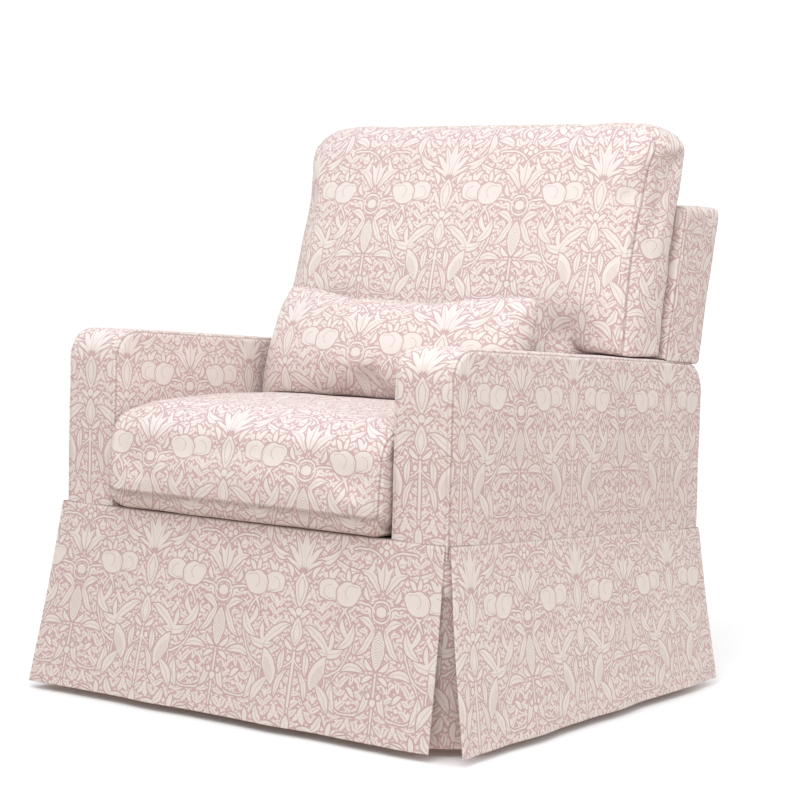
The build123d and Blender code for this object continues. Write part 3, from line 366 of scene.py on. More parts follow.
def printed_colour(where):
    """Dusty pink ground with ivory leaves, fruit and scrolls, at a place on the flat cloth in metres."""
    parts = node("SeparateXYZ")
    feed(parts.inputs[0], where)
    across = Field(parts.outputs[0]) * 1000.0
    along = Field(parts.outputs[1]) * 1000.0
    flat_u = op("PINGPONG", across, HALF_REPEAT)
    mirrored = node("CombineXYZ")
    feed(mirrored.inputs[0], flat_u)
    feed(mirrored.inputs[1], along)
    drift = node("SeparateXYZ")
    feed(drift.inputs[0], noise_at(Field(mirrored.outputs[0]), 0.035, 2.0, out=1))
    shift_u, shift_v = Field(drift.outputs[0]) - 0.5, Field(drift.outputs[1]) - 0.5
    edge_fade = step(flat_u, 0.0, 14.0) * step(flat_u, HALF_REPEAT, HALF_REPEAT - 14.0)
    u = flat_u + shift_u * 9.0 * edge_fade
    v = op("WRAP", along + shift_v * 8.0, TILE_HIGH, TILE_LOW)

    # undergrowth: sprigs of small leaves and berries packed between the larger shapes
    sprig_u = op("PINGPONG", (u + shift_v * 9.0) * SPRIG_SCALE, 16.5)
    sprig_v = op("WRAP", (along * 1.04 + shift_u * 22.0 + shift_v * 14.0) * SPRIG_SCALE, 36.0, 0.0)
    s = Print(sprig_u, sprig_v)
    sprigs = lowest(
        *s.leaves(
            (0, 0.5, 13.2, 9.6, 7.0, 1.6, True), (1, 12.5, 13.4, 20.6, 6.6, 1.6, True),
            (0, 24.4, 11.6, 34, 6.6, 1.4, True), (16.5, 4, 16.5, 15, 6.6, 0, True),
            (16.5, 28.6, 8.6, 22.4, 4.8, -0.8), (16.5, 29, 16.5, 36, 6.0), (0, 9, 0, 20.5, 6.0)),
        *s.discs(
            (16.0, 20.0, 2.7), (4.6, 22.4, 1.7), (13.4, 0.6, 2.4), (3.4, 36.0, 2.3), (6.6, 11.4, 1.3),
            (12.6, 29.6, 1.7), (12.6, 14.2, 1.4)))

    p = Print(u, v)
    # stems: long S curves that leave one axis, cross and curl back
    curls = (((46, -72, 62, 4.6), (0.5, -0.85, 62)), ((120, -52, 40, 4.4), (-0.2, 1.0, -62)),
             ((120, 20, 52, 4.2), (0.8, 0.6, 118)), ((22, 96, 50, 4.2), (0.9, -0.3, 12)),
             ((112, 112, 34, 4.0), (-0.7, 0.7, -14)), ((112, -150, 36, 4.0), (-0.8, -0.3, -58)),
             ((30, -150, 34, 3.6), (0.9, 0.2, 6)))
    trunks = ((0, -190, -92, 6.0), (160, -190, -44, 5.0), (0, 84, 170, 4.4), (160, 84, 170, 4.4))
    stems = lowest(*(p.beyond(p.ring(*ring), *cut) for ring, cut in curls), p.ring(160, -22, 17, 4.6),
                   *(p.bar(*trunk) for trunk in trunks))

    # leaves that spring from the stems and curl with them
    leaves = lowest(
        *p.leaves(
            (12, -60, 66, -104, 17, 9, True), (40, -92, 96, -86, 15, -9, True),
            (80, -88, 110, -44, 15, -8, True), (60, -98, 70, -60, 10, -5), (104, -70, 86, -36, 11, 6),
            (116, -34, 150, -58, 13, 6, True), (150, -44, 118, -92, 13, 6, True),
            (154, 2, 112, 38, 15, -10, True), (112, 36, 64, 50, 13, 8, True), (120, 30, 142, 62, 11, -5),
            (22, 46, 72, 66, 15, -9, True), (70, 62, 66, 108, 15, -9, True),
            (60, 120, 20, 140, 14, -8, True), (34, 84, 54, 92, 9, 3), (84, 92, 124, 76, 14, 8, True),
            (140, 92, 148, 138, 14, 8, True), (118, 146, 80, 136, 15, 8, True), (84, 128, 86, 162, 11, 5),
            (106, 104, 126, 118, 10, 3), (44, 140, 62, 168, 13, -6, True),
            (78, -140, 92, -186, 15, -8, True), (92, -120, 136, -118, 14, 8, True),
            (146, -136, 132, -182, 13, 7, True), (104, -142, 124, -158, 10, 3), (20, 12, 36, 34, 10, 4),
            (136, -8, 126, 14, 9, 4)))

    # tall pods in pairs beside the trunk, with striped tails
    pods = lowest(*p.leaves((62, -102, 38, -160, 25, -4), (46, -146, 76, -190, 17, 4, True)))
    tips = lowest(*p.leaves((20, -98, 24, -140, 12, 3, True), (8, -130, 28, -178, 12, 6, True)))

    # fan of flames, almond knot and bud on one axis; cone, bud and paired leaves on the other
    axis = lowest(
        *p.leaves(
            (0, 26, 0, 92, 15, 0, True), (3, 26, 22, 84, 12, 4, True), (5, 24, 38, 66, 11, 5),
            (6, 22, 40, 44, 8, 4), (0, -32, 0, 24, 25), (0, -94, 0, -46, 22), (3, -50, 24, -36, 9, 3),
            (2, -100, 20, -82, 9, -3), (0, 124, 0, 160, 14, 0, True)),
        *p.discs((0, -38, 6.5), (10, -112, 5.5), (11, 104, 5.0), (9, 118, 4.4)))
    other = lowest(
        *p.leaves(
            (160, 8, 160, 58, 15, 0, True), (157, 10, 142, 50, 10, -4), (160, -112, 160, -48, 25),
            (157, -110, 136, -92, 9, 4), (157, -120, 134, -134, 9, -3), (157, 96, 138, 112, 10, 3),
            (160, 108, 160, 150, 16, 0, True)),
        *p.discs((160, -22, 10), (150, -150, 5.5), (160, -160, 6.0), (150, 72, 5.0), (160, 68, 5.0)))
    scales = op("ABSOLUTE", op("PINGPONG", v + op("ABSOLUTE", u - HALF_REPEAT) * 0.8, 4.4) - 2.2) - 0.55
    cone = op("MAXIMUM", scales, p.leaf((160, -108), (160, -52), 20))
    almond = op("ABSOLUTE", p.leaf((0, -24), (0, 16), 13)) - 0.6
    calyx = op("ABSOLUTE", p.leaf((0, -88), (0, -56), 11)) - 0.5
    barbs = op("ABSOLUTE", op("PINGPONG", v + u * 0.9, 3.6) - 1.8) - 0.5
    barbs = op("MAXIMUM", barbs, p.leaf((58, -116), (41, -156), 15, -2))

    # pairs of plump round fruit with leafy crowns, wider than they are tall
    f = Print(u, v * 1.22)
    right = lowest(f.disc(92, -2, 23.5), f.disc(104, 4, 15.0))
    left = lowest(f.disc(56, 2, 21.0), f.disc(47, 7, 13.0))
    crown = lowest(*p.leaves((56, 14, 74, 36, 10, 3), (60, 14, 56, 36, 9, 3), (96, 14, 92, 38, 10, 3),
                             (98, 14, 112, 32, 9, 2)))
    dimple = f.beyond(op("ABSOLUTE", f.to(100, 2) - 13.0) - 0.5, -0.8, 0.6, -82)
    crease = f.beyond(op("ABSOLUTE", f.to(60, -2) - 14.0) - 0.5, -0.9, -0.2, -55)
    seeds = op("MAXIMUM", op("ABSOLUTE", f.to(56, 2) - 16.5) - 0.35, f.to(66, -10) - 15.0)

    ground, outline, pale = rgb(196, 164, 164), rgb(172, 140, 140), rgb(226, 216, 211)
    soft = 0.5

    def over(colour, shape, fill, moat=1.7):
        """One layer of the print: a gap of ground round the shape, its thin outline, then its fill."""
        colour = mix(step(shape, moat + soft, moat - soft), colour, ground)
        colour = mix(step(shape, 0.75, 0.75 - 2 * soft), colour, outline)
        return mix(step(shape, -0.1, -0.1 - 2 * soft), colour, fill)

    def inked(colour, *lines):
        return mix(step(lowest(*lines), soft, -soft) * 0.75, colour, outline)

    colour = mix(step(sprigs, 0.4, -0.4), ground, pale)
    colour = inked(colour, *s.ribs)
    for shape in (stems, leaves, tips, pods, axis, other, crown, left, right):
        colour = over(colour, shape, pale)
    return inked(colour, dimple, crease, seeds, cone, almond, calyx, barbs, *p.ribs)


def cloth_material():
    """Printed cotton-linen canvas: print, thread colour, weave, lint, a soft sheen and painted shade in the
    seams.
    """
    made, shader = start_material("printed_canvas")
    where = Field(node("UVMap", uv_map="Pattern").outputs[0])
    colour = printed_colour(where)
    local = on_object()
    # thread by thread colour and a faint rubbed look in random patches
    slub = noise_at(vector_op("MULTIPLY", where, (900.0, 90.0, 1.0)), 1.0, 2.0)
    weft = noise_at(vector_op("MULTIPLY", where, (90.0, 900.0, 1.0)), 1.0, 2.0)
    thread = step(slub + weft, 0.75, 1.25)
    colour = mix(thread * 0.16, colour, rgb(250, 243, 238))
    mottled = noise_at(local, 9.0, 4.0, 0.6)
    colour = mix(step(mottled, 0.35, 0.75) * 0.10, colour, rgb(205, 186, 176))
    # painted shade: the cloth is darkened towards a dark brown in and beside the seams, along the stitch rows
    # and over the tops of the skirt panels and pleat backings, as much as the Seam attribute gives each point
    seam = node("Attribute", attribute_name="Seam", attribute_type="GEOMETRY")
    colour = mix(op("MULTIPLY", Field(seam.outputs["Fac"]), 0.55, clamp=True), colour, rgb(128, 101, 94))
    threads = woven(where, 230.0, 0.9, 1.0, 0.6)
    paint(shader, colour, 0.80 + (threads - 0.5) * 0.12)
    rumpled = add_bump(shader, noise_at(local, 34.0, 3.0, 0.55), 0.0022, 0.35)
    add_bump(shader, threads * 0.7 + slub * 0.5 + weft * 0.5, 0.00035, 0.55, under=rumpled)
    shader.inputs["Specular IOR Level"].default_value = 0.22
    shader.inputs["Sheen Weight"].default_value = 0.16
    shader.inputs["Sheen Roughness"].default_value = 0.5
    shader.inputs["Sheen Tint"].default_value = (1.0, 0.95, 0.92, 1)
    return made


def plain_cloth(name, colour, dark, scale, bump):
    """Unprinted lining cloth with a visible weave."""
    made, shader = start_material(name)
    local = on_object()
    threads = woven(local, scale, 0.7)
    lint = noise_at(local, 60.0, 4.0, 0.6)
    paint(shader, mix(step(threads * 0.6 + lint * 0.6, 0.35, 0.85), dark, colour), 0.82 + lint * 0.12)
    shader.inputs["Specular IOR Level"].default_value = 0.15
    add_bump(shader, threads + lint * 0.5, bump, 0.6)
    return made


def thread_material():
    made, shader = start_material("sewing_thread")
    fuzz = noise_at(on_object(), 900.0, 2.0)
    paint(shader, mix(fuzz, rgb(196, 165, 160), rgb(232, 214, 206)), 0.6 + fuzz * 0.2)
    add_bump(shader, fuzz, 0.0002, 0.6)
    return made


def wood_material(name, pale, dark, layers):
    """Solid or laminated wood, with long grain and, where layers is set, plies."""
    made, shader = start_material(name)
    local = on_object()
    grain = noise_at(vector_op("MULTIPLY", local, (4.0, 60.0, 60.0)), 1.0, 5.0, 0.6)
    figure = noise_at(vector_op("MULTIPLY", local, (1.5, 9.0, 9.0)), 1.0, 3.0)
    colour = mix(step(grain, 0.35, 0.7), pale, dark)
    colour = mix(step(figure, 0.4, 0.75) * 0.35, colour, dark)
    if layers:
        parts = node("SeparateXYZ")
        feed(parts.inputs[0], local)
        ply = op("PINGPONG", Field(parts.outputs[0]) * 1000.0, 1.5)
        colour = mix(step(ply, 1.0, 1.4) * 0.5, colour, dark)
    paint(shader, colour, 0.55 + grain * 0.25)
    add_bump(shader, grain, 0.0004, 0.5)
    return made


def metal_material(name, colour, worn, roughness, metallic):
    """Coated or bare steel: fine orange peel, with rubbed patches."""
    made, shader = start_material(name)
    local = on_object()
    peel = noise_at(local, 840.0, 2.0)
    patches = noise_at(local, 28.0, 5.0, 0.65)
    rubbed = step(patches, 0.56, 0.72)
    paint(shader, mix(rubbed * 0.5, colour, worn), roughness + (patches - 0.5) * 0.25 + peel * 0.05)
    shader.inputs["Metallic"].default_value = metallic
    add_bump(shader, peel, 0.0003, 0.35)
    return made


def plastic_material():
    made, shader = start_material("moulded_pad")
    local = on_object()
    grain = noise_at(local, 1400.0, 2.0)
    scuffs = noise_at(local, 90.0, 4.0, 0.7)
    paint(shader, mix(step(scuffs, 0.5, 0.75) * 0.4, rgb(38, 37, 38), rgb(92, 90, 88)), 0.5 + grain * 0.18)
    add_bump(shader, grain, 0.0002, 0.4)
    return made


CLOTH = cloth_material()
THREAD = thread_material()
DECK = plain_cloth("deck_lining", rgb(226, 219, 208), rgb(186, 178, 166), 160.0, 0.0004)
DUST = plain_cloth("dust_cambric", rgb(52, 51, 53), rgb(24, 24, 26), 210.0, 0.0003)
NODE_MATERIALS = {
    "webbing": plain_cloth("elastic_webbing", rgb(58, 56, 58), rgb(26, 25, 27), 120.0, 0.0006),
    "deck_cloth": DECK,
    "dust_cloth": DUST,
    "hardwood": wood_material("beech_rail", rgb(214, 182, 140), rgb(168, 128, 86), False),
    "plywood": wood_material("birch_ply", rgb(222, 198, 160), rgb(176, 142, 100), True),
    "black_steel": metal_material("black_coated_steel", rgb(34, 34, 36), rgb(78, 78, 80), 0.42, 0.6),
    "zinc_steel": metal_material("zinc_plated_steel", rgb(186, 188, 186), rgb(140, 140, 134), 0.34, 1.0),
    "spring_steel": metal_material("spring_wire", rgb(120, 118, 116), rgb(84, 78, 72), 0.38, 1.0),
    "bearing_steel": metal_material("bearing_steel", rgb(206, 207, 208), rgb(160, 160, 158), 0.2, 1.0),
    "pad_plastic": plastic_material(),
}

# ------------------------------------------------------------------ meshes

EDGE_STEPS = np.array([0, 0.0012, 0.0025, 0.0045, 0.0065, 0.009, 0.013, 0.019, 0.027])
SEAM_INSET = 1 - math.cos(math.pi / 4)   # a seam lies half way round its edge: share of the edge's radius
STITCH_AWAY = 0.0062                     # from the seam to its row of top-stitches
STITCH_PITCH = 0.0052


def lines(stops, step_size, fine=True):
    """Grid lines through the stops, close together beside each one when fine, where seams lie."""
    out = [np.array([stops[0]])]
    for low, high in zip(stops[:-1], stops[1:]):
        near = EDGE_STEPS if fine and high - low > 2.5 * EDGE_STEPS[-1] else np.array([0.0])
        count = max(1, round((high - low - 2 * near[-1]) / step_size))
        middle = np.linspace(low + near[-1], high - near[-1], count + 1)
        out.append(np.concatenate([low + near[1:], middle[1:-1], (high - near)[::-1]]))
    return np.concatenate(out)


class Slab:
    """A stuffed form: two facing panels cut to one flat outline and joined by a wall, with a seam at each.

    (p, q) lies in the panels' plane and w runs through the thickness.
    place turns them into metres in the frame.
    """

    def __init__(self, name, ps, qs, half, radius, place, keep=None, corners=(), crown=(0, 0), reach=0.06,
                 wall_step=0.009, start=None, fine=True, bulge=0.0):
        self.name, self.place, self.half, self.radius = name, place, half, radius
        grid_p, grid_q = np.meshgrid(ps, qs, indexing="ij")
        cell_p, cell_q = np.meshgrid((ps[1:] + ps[:-1]) / 2, (qs[1:] + qs[:-1]) / 2, indexing="ij")
        kept = np.ones(cell_p.shape, bool) if keep is None else keep(cell_p, cell_q)
        for corner_p, corner_q, size in corners:
            grid_p, grid_q = rounded(grid_p, grid_q, corner_p, corner_q, size)
        number = -np.ones(grid_p.shape, int)
        used = np.zeros(grid_p.shape, bool)
        for i, j in ((0, 0), (1, 0), (0, 1), (1, 1)):
            used[i:i + kept.shape[0], j:j + kept.shape[1]] |= kept
        number[used] = np.arange(used.sum())
        self.flat = np.stack([grid_p[used], grid_q[used]], axis=1)
        i, j = np.nonzero(kept)
        quads = np.stack([number[i, j], number[i + 1, j], number[i + 1, j + 1], number[i, j + 1]], axis=1)
        self.loop = edge_loop(quads)
        if start is not None:
            away = np.hypot(*(self.flat[self.loop] - np.array(start)).T)
            self.loop = np.roll(self.loop, -int(np.argmin(away)))
        line = self.flat[self.loop]
        onward = np.roll(line, -1, axis=0) - line
        lengths = np.hypot(*onward.T)
        self.around = np.concatenate([[0], np.cumsum(lengths)])      # distance round, the full length last
        tangent = onward / lengths[:, None]
        tangent = tangent + np.roll(tangent, 1, axis=0)
        tangent /= np.hypot(*tangent.T)[:, None]
        outward = np.stack([tangent[:, 1], -tangent[:, 0]], axis=1)  # the loop runs anticlockwise
        away, along = near_line(self.flat, line, self.around)
        drop = fillet_drop(away, radius)
        swell = 1 - np.exp(-(away / reach) ** 1.5)
        top = np.column_stack([self.flat, half - drop + crown[0] * swell])
        low = np.column_stack([self.flat, -half + drop - crown[1] * swell])
        wall, self.wall_t = wall_profile(half, radius, wall_step, fine, bulge)
        rings = [np.column_stack([line + outward * out, np.full(len(line), w)]) for out, w in wall]
        self.soft = np.concatenate([top, low, *rings])
        total, around = len(self.flat), len(line)
        where = np.arange(around)
        after = (where + 1) % around
        loops = [self.loop, *(2 * total + k * around + where for k in range(len(wall))), total + self.loop]
        faces = [quads, total + quads[:, ::-1]]
        for upper, lower in zip(loops[:-1], loops[1:]):
            faces.append(np.stack([upper[after], upper[where], lower[where], lower[after]], axis=1))
        self.panel_faces = len(quads)
        self.faces = np.concatenate(faces)
        self.wall_w = np.array([half, *(w for _, w in wall), -half])
        # distance from the nearest of the two seams, and how far round the loop, for every point
        full = self.wall_t[-1]
        on_wall = (np.full(around, min(t, full - t)) for t in self.wall_t[1:-1])
        self.seam_away = np.concatenate([away, away, *on_wall])
        self.seam_along = np.concatenate([along, along, *(self.around[:-1] for _ in wall)])
        self.is_wall = np.arange(len(self.soft)) >= 2 * total
        self.points = place(*self.soft.T)

    def build(self, panel_uv, wall_uv):
        """Blender object with the print laid out on each panel. panel_uv(p, q, side), wall_uv(s, w)."""
        ob = mesh_object(self.name, self.points, self.faces)
        uv = ob.data.uv_layers.new(name="Pattern")
        soft = self.soft[self.faces]
        coords = np.zeros((len(self.faces), 4, 2))
        n = self.panel_faces
        coords[:n] = np.stack(panel_uv(soft[:n, :, 0], soft[:n, :, 1], 1), axis=-1)
        coords[n:2 * n] = np.stack(panel_uv(soft[n:2 * n, :, 0], soft[n:2 * n, :, 1], -1), axis=-1)
        around = len(self.loop)
        begin, end = self.around[:-1], self.around[1:]
        s = np.stack([end, begin, begin, end], axis=1)
        heights = self.wall_t[-1] / 2 - self.wall_t
        for k, (upper, lower) in enumerate(zip(heights[:-1], heights[1:])):
            t = np.broadcast_to([upper, upper, lower, lower], s.shape)
            coords[2 * n + k * around:2 * n + (k + 1) * around] = np.stack(wall_uv(s, t), axis=-1)
        uv.data.foreach_set("uv", coords.astype(np.float32).ravel())
        return ob


def rounded(p, q, corner_p, corner_q, size):
    """Rounds one corner of a grid: the square beside it is eased onto a quarter disc."""
    towards_p = 1 if corner_p > p.mean() else -1
    towards_q = 1 if corner_q > q.mean() else -1
    a = 1 - (corner_p - p) * towards_p / size
    b = 1 - (corner_q - q) * towards_q / size
    inside = (a > 0) & (b > 0) & (a < 1.0001) & (b < 1.0001)
    longest, length = np.maximum(a, b), np.hypot(a, b)
    scale = np.where(inside, longest / np.maximum(length, 1e-9), 1.0)
    new_p = corner_p - towards_p * size * (1 - a * scale)
    new_q = corner_q - towards_q * size * (1 - b * scale)
    return np.where(inside, new_p, p), np.where(inside, new_q, q)


def edge_loop(quads):
    """The outline of a sheet of quads as one anticlockwise loop of point numbers."""
    pairs = np.concatenate([quads[:, [0, 1]], quads[:, [1, 2]], quads[:, [2, 3]], quads[:, [3, 0]]])
    seen = set(map(tuple, pairs.tolist()))
    onward = {a: b for a, b in seen if (b, a) not in seen}
    first = next(iter(sorted(onward)))
    loop = [first]
    while onward[loop[-1]] != first:
        loop.append(onward[loop[-1]])
    return np.array(loop)


def near_line(points, line, around):
    """For each point, its distance from a closed line and how far along the line the nearest place is."""
    d = np.roll(line, -1, axis=0) - line
    squared = (d * d).sum(axis=1)
    away, along = np.empty(len(points)), np.empty(len(points))
    for begin in range(0, len(points), 4000):
        part = points[begin:begin + 4000]
        offset = part[:, None] - line[None]
        share = np.clip((offset * d).sum(axis=2) / squared, 0, 1)
        gap = offset - share[..., None] * d
        distance = np.hypot(gap[..., 0], gap[..., 1])
        best = distance.argmin(axis=1)
        rows = np.arange(len(part))
        away[begin:begin + 4000] = distance[rows, best]
        along[begin:begin + 4000] = around[best] + share[rows, best] * np.sqrt(squared[best])
    return away, along


def fillet_drop(away, radius):
    """How far a panel's surface falls near its seam, which lies half way round the rounded edge."""
    inset = np.minimum(radius * SEAM_INSET + away, radius)
    return radius - np.sqrt(np.maximum(radius ** 2 - (radius - inset) ** 2, 0))


def wall_profile(half, radius, step_size, fine, bulge):
    """Points down the wall between the seams, as (out from the outline, w), and distances along it."""
    quarter = radius * math.pi / 4
    straight = max(2 * (half - radius), 0.0)
    full = 2 * quarter + straight
    near = EDGE_STEPS[EDGE_STEPS < full * 0.3] if fine else np.array([0.0])
    count = max(2, round((full - 2 * near[-1]) / step_size))
    middle = np.linspace(near[-1], full - near[-1], count + 1)
    ts = np.unique(np.round(np.concatenate([near, middle, full - near]), 7))
    out = []
    for t in ts[1:-1]:
        side = 1 if t <= full / 2 else -1
        reach = min(t, full - t)
        if reach < quarter:
            angle = math.pi / 4 - reach / radius
            inset, depth = radius * (1 - math.cos(angle)), radius * (1 - math.sin(angle))
        else:
            inset, depth = 0.0, radius + reach - quarter
        swell = bulge * math.sin(math.pi * t / full)
        out.append((radius * SEAM_INSET - inset + swell, side * (half - depth)))
    return out, ts


def mesh_object(name, points, faces):
    mesh = bpy.data.meshes.new(name)
    mesh.from_pydata(np.asarray(points).tolist(), [], [list(map(int, f)) for f in faces])
    mesh.polygons.foreach_set("use_smooth", np.ones(len(mesh.polygons), bool))
    mesh.update()
    ob = bpy.data.objects.new(name, mesh)
    scene.collection.objects.link(ob)
    return ob


def points_of(mesh):
    out = np.empty(len(mesh.vertices) * 3)
    mesh.vertices.foreach_get("co", out)
    return out.reshape(-1, 3)


def normals_of(mesh):
    out = np.empty(len(mesh.vertices) * 3)
    mesh.vertex_normals.foreach_get("vector", out)
    return out.reshape(-1, 3)


def set_points(mesh, points):
    mesh.vertices.foreach_set("co", np.asarray(points).ravel())
    mesh.update()


def noise_over(points, size, seed):
    """Smooth noise, about -1 to 1, at each point; size is its grain in metres."""
    shift = Vector((seed * 7.31, seed * 3.17, seed * 5.53))
    return np.array([noise.noise(Vector(p) / size + shift) for p in points])


def sewn(ob, slab, seed, stitch_on=None, ease=0.0009, undulation=0.0009, cross=None):
    """Seam valleys, the ridge and dimple of top-stitching, small puckers along the seams, soft unevenness,
    and painted shade along the seams and stitch rows.
    """
    points, normals = points_of(ob.data), normals_of(ob.data)
    away, along = slab.seam_away, slab.seam_along
    rise = -0.0019 * np.exp(-(away / 0.0013) ** 2)
    if stitch_on is not None:
        on = slab.is_wall if stitch_on == "wall" else ~slab.is_wall
        rise += on * (0.0007 * np.exp(-((away - 0.0031) / 0.0012) ** 2)
                      - 0.0008 * np.exp(-((away - STITCH_AWAY) / 0.0012) ** 2))
    pucker = np.sin(along / 0.0125 * 2 * math.pi + 3 * np.sin(along / 0.11) + seed)
    strength = noise_over(np.column_stack([along, away * 0, away * 0 + seed]), 0.05, seed)
    rise += ease * pucker * (0.6 + strength) * np.exp(-away / 0.014) * (1 - np.exp(-(away / 0.003) ** 2))
    # painted shade: darkest in the seam itself, fainter along the stitch row and along any cross seam
    shade = np.exp(-(away / 0.0012) ** 2)
    if stitch_on is not None:
        shade += 0.35 * on * np.exp(-((away - STITCH_AWAY) / 0.0009) ** 2)
    if cross is not None:
        rise -= 0.0013 * np.exp(-(cross / 0.0014) ** 2)
        shade += 0.8 * np.exp(-(cross / 0.0011) ** 2)
    paint_seam_shade(ob, shade)
    rise += undulation * noise_over(points, 0.075, seed + 1)
    rise += 0.35 * undulation * noise_over(points, 0.026, seed + 2)
    set_points(ob.data, points + normals * rise[:, None])


def stitches(slab, body, parent, on="panel", sides=(1, -1), skip=None):
    """Rows of top-stitches a little inside the seams: short raised threads on the finished surface."""
    tree = surface_tree(parent)
    line = slab.flat[slab.loop]
    total = slab.around[-1]
    ring = np.vstack([line, line[:1]])
    verts, faces = [], []
    for side in sides:
        for middle in np.arange(int(total / STITCH_PITCH)) * STITCH_PITCH:
            ends = [np.array([np.interp((middle + shift) % total, slab.around, ring[:, k]) for k in (0, 1)])
                    for shift in (-0.0017, 0.0017)]
            heading = ends[1] - ends[0]
            length = math.hypot(*heading)
            if length < 1e-6:
                continue
            outward = np.array([heading[1], -heading[0]]) / length
            found = []
            for end in ends:
                if on == "panel":
                    flat = end - outward * STITCH_AWAY
                    w = slab.half - float(fillet_drop(np.array([STITCH_AWAY]), slab.radius)[0])
                else:
                    k = int(np.searchsorted(slab.wall_t, STITCH_AWAY))
                    flat = end + outward * (slab.radius * SEAM_INSET)
                    w = slab.wall_w[min(k, len(slab.wall_w) - 1)]
                point = slab.place(np.array([flat[0]]), np.array([flat[1]]), np.array([side * w]))[0]
                if skip is not None and skip(point):
                    break
                spot, normal, _, _ = tree.find_nearest(Vector(point))
                found.append((spot, normal))
            if len(found) == 2:
                add_stitch(verts, faces, *found[0], *found[1])
    ob = mesh_object("stitching_" + slab.name, verts, faces)
    ob.data.materials.append(THREAD)
    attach(ob, body)
    return ob


def add_stitch(verts, faces, start, start_normal, end, end_normal):
    """One raised thread from start to end, dipping into the cloth at both ends."""
    radius, sides = 0.00042, 5
    along = end - start
    if along.length < 1e-5:
        return
    across = along.cross(start_normal).normalized()
    base = len(verts)
    for share, lift, size in ((0, -0.0002, 0.5), (0.3, 0.00035, 1), (0.7, 0.00035, 1), (1, -0.0002, 0.5)):
        middle = start.lerp(end, share) + start_normal.lerp(end_normal, share) * lift
        up = start_normal.lerp(end_normal, share)
        for turn in range(sides):
            angle = 2 * math.pi * turn / sides
            verts.append(middle + (across * math.cos(angle) + up * math.sin(angle)) * radius * size)
    for ring in range(3):
        for turn in range(sides):
            a, b = base + ring * sides + turn, base + ring * sides + (turn + 1) % sides
            faces.append((a, a + sides, b + sides, b))
    faces.append(tuple(base + k for k in range(sides)))
    faces.append(tuple(base + 3 * sides + k for k in reversed(range(sides))))


def straight_down(tree, x, y):
    """Where a ray that falls at x, y meets a surface, or None."""
    return tree.ray_cast(Vector((x, y, 1.0)), Vector((0, 0, -1)))[0]


def stood_on(points, trees, reach, gap=0.0012):
    """Lets what lies just over the arms down onto them: the lower the point, the further it follows."""
    # where it starts to follow, and the arm's inner edge and top
    begin, inner, crest = 0.262, 0.279, 0.285
    out = points.copy()
    for tree in trees:
        for index in np.nonzero(abs(points[:, 0]) > begin)[0]:
            x, y, z = points[index]
            hit = straight_down(tree, math.copysign(max(abs(x), crest), x), y)
            if hit is not None and (abs(x) > inner + 0.0005 or z > hit.z - 0.004):
                beside = np.clip((abs(x) - begin) / (inner - begin), 0, 1)
                out[index, 2] -= (z - hit.z - gap) * np.clip(1 - (z - hit.z) / reach, 0, 1) ** 1.5 * beside
    return out


def surface_tree(ob):
    return BVHTree.FromPolygons(points_of(ob.data).tolist(), [list(f.vertices) for f in ob.data.polygons])


def paint_seam_shade(ob, strength):
    """Keeps how much painted shade each point gets in and beside the seams, as the attribute Seam, for the
    cloth's material.
    """
    layer = ob.data.attributes.get("Seam") or ob.data.attributes.new("Seam", "FLOAT", "POINT")
    layer.data.foreach_set("value", np.asarray(strength, np.float32))


def simulated(coarse, pressure, frames=18, tension=12.0, ease=0.0, hold=None, cap=0.02, quality=6):
    """Fills a coarse stuffed form by Cloth under pressure. Gives its points at rest, and how each moves."""
    ob = mesh_object("filling", coarse.points, coarse.faces)
    rest = points_of(ob.data)
    cloth = ob.modifiers.new("fill", "CLOTH")
    settings = cloth.settings
    settings.quality = quality
    settings.mass = 0.3
    settings.tension_stiffness = settings.compression_stiffness = tension
    settings.shear_stiffness = tension * 0.6
    settings.bending_stiffness = 0.6
    settings.use_pressure = True
    settings.uniform_pressure_force = pressure
    settings.effector_weights.gravity = 0
    if ease:
        # the panels are cut a little larger than the seams that hold them
        group = ob.vertex_groups.new(name="ease")
        for index, away in enumerate(coarse.seam_away):
            group.add([index], float(min(1.0, away / 0.03)), "REPLACE")
        settings.vertex_group_shrink = "ease"
        settings.shrink_min, settings.shrink_max = 0.0, -ease
    if hold is not None:
        pinned = ob.vertex_groups.new(name="hold")
        for index in np.nonzero(hold(rest))[0]:
            pinned.add([int(index)], 1.0, "REPLACE")
        settings.vertex_group_mass = "hold"
    cloth.collision_settings.use_collision = False
    cloth.point_cache.frame_start, cloth.point_cache.frame_end = 1, frames
    for number in range(1, frames + 1):
        scene.frame_set(number)
    filled = points_of(ob.evaluated_get(bpy.context.evaluated_depsgraph_get()).data)
    scene.frame_set(1)
    move = filled - rest
    move *= np.minimum(1.0, cap / np.maximum(np.linalg.norm(move, axis=1, keepdims=True), 1e-9))
    bpy.data.objects.remove(ob)
    return rest, move


def carried(points, coarse, rest, move):
    """Moves each point as the nearest place on the filled coarse form moved."""
    triangles = np.concatenate([coarse.faces[:, [0, 1, 2]], coarse.faces[:, [0, 2, 3]]])
    tree = BVHTree.FromPolygons(rest.tolist(), triangles.tolist())
    out = np.array(points)
    for index, point in enumerate(points):
        spot, _, number, _ = tree.find_nearest(Vector(point))
        a, b, c = (Vector(rest[k]) for k in triangles[number])
        whole = (b - a).cross(c - a)
        area = whole.length_squared
        if area < 1e-16:
            continue
        share_b = (spot - a).cross(c - a).dot(whole) / area
        share_c = (b - a).cross(spot - a).dot(whole) / area
        weights = (1 - share_b - share_c, share_b, share_c)
        out[index] += sum(weight * move[k] for weight, k in zip(weights, triangles[number]))
    return out


def finish_piece(ob, body, replaced, material=None):
    """Gives a piece its material, body, nodes and slot. Printed ones are smoothed."""
    ob.data.materials.append(material or CLOTH)
    if material is None:
        smooth = ob.modifiers.new("smooth", "SUBSURF")
        smooth.levels = smooth.render_levels = 1
    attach(ob, body)
    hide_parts(*replaced)
    return ob


# ------------------------------------------------------------------ arms

PRINT_FOOT = 0.546                       # height on the body at which the print starts


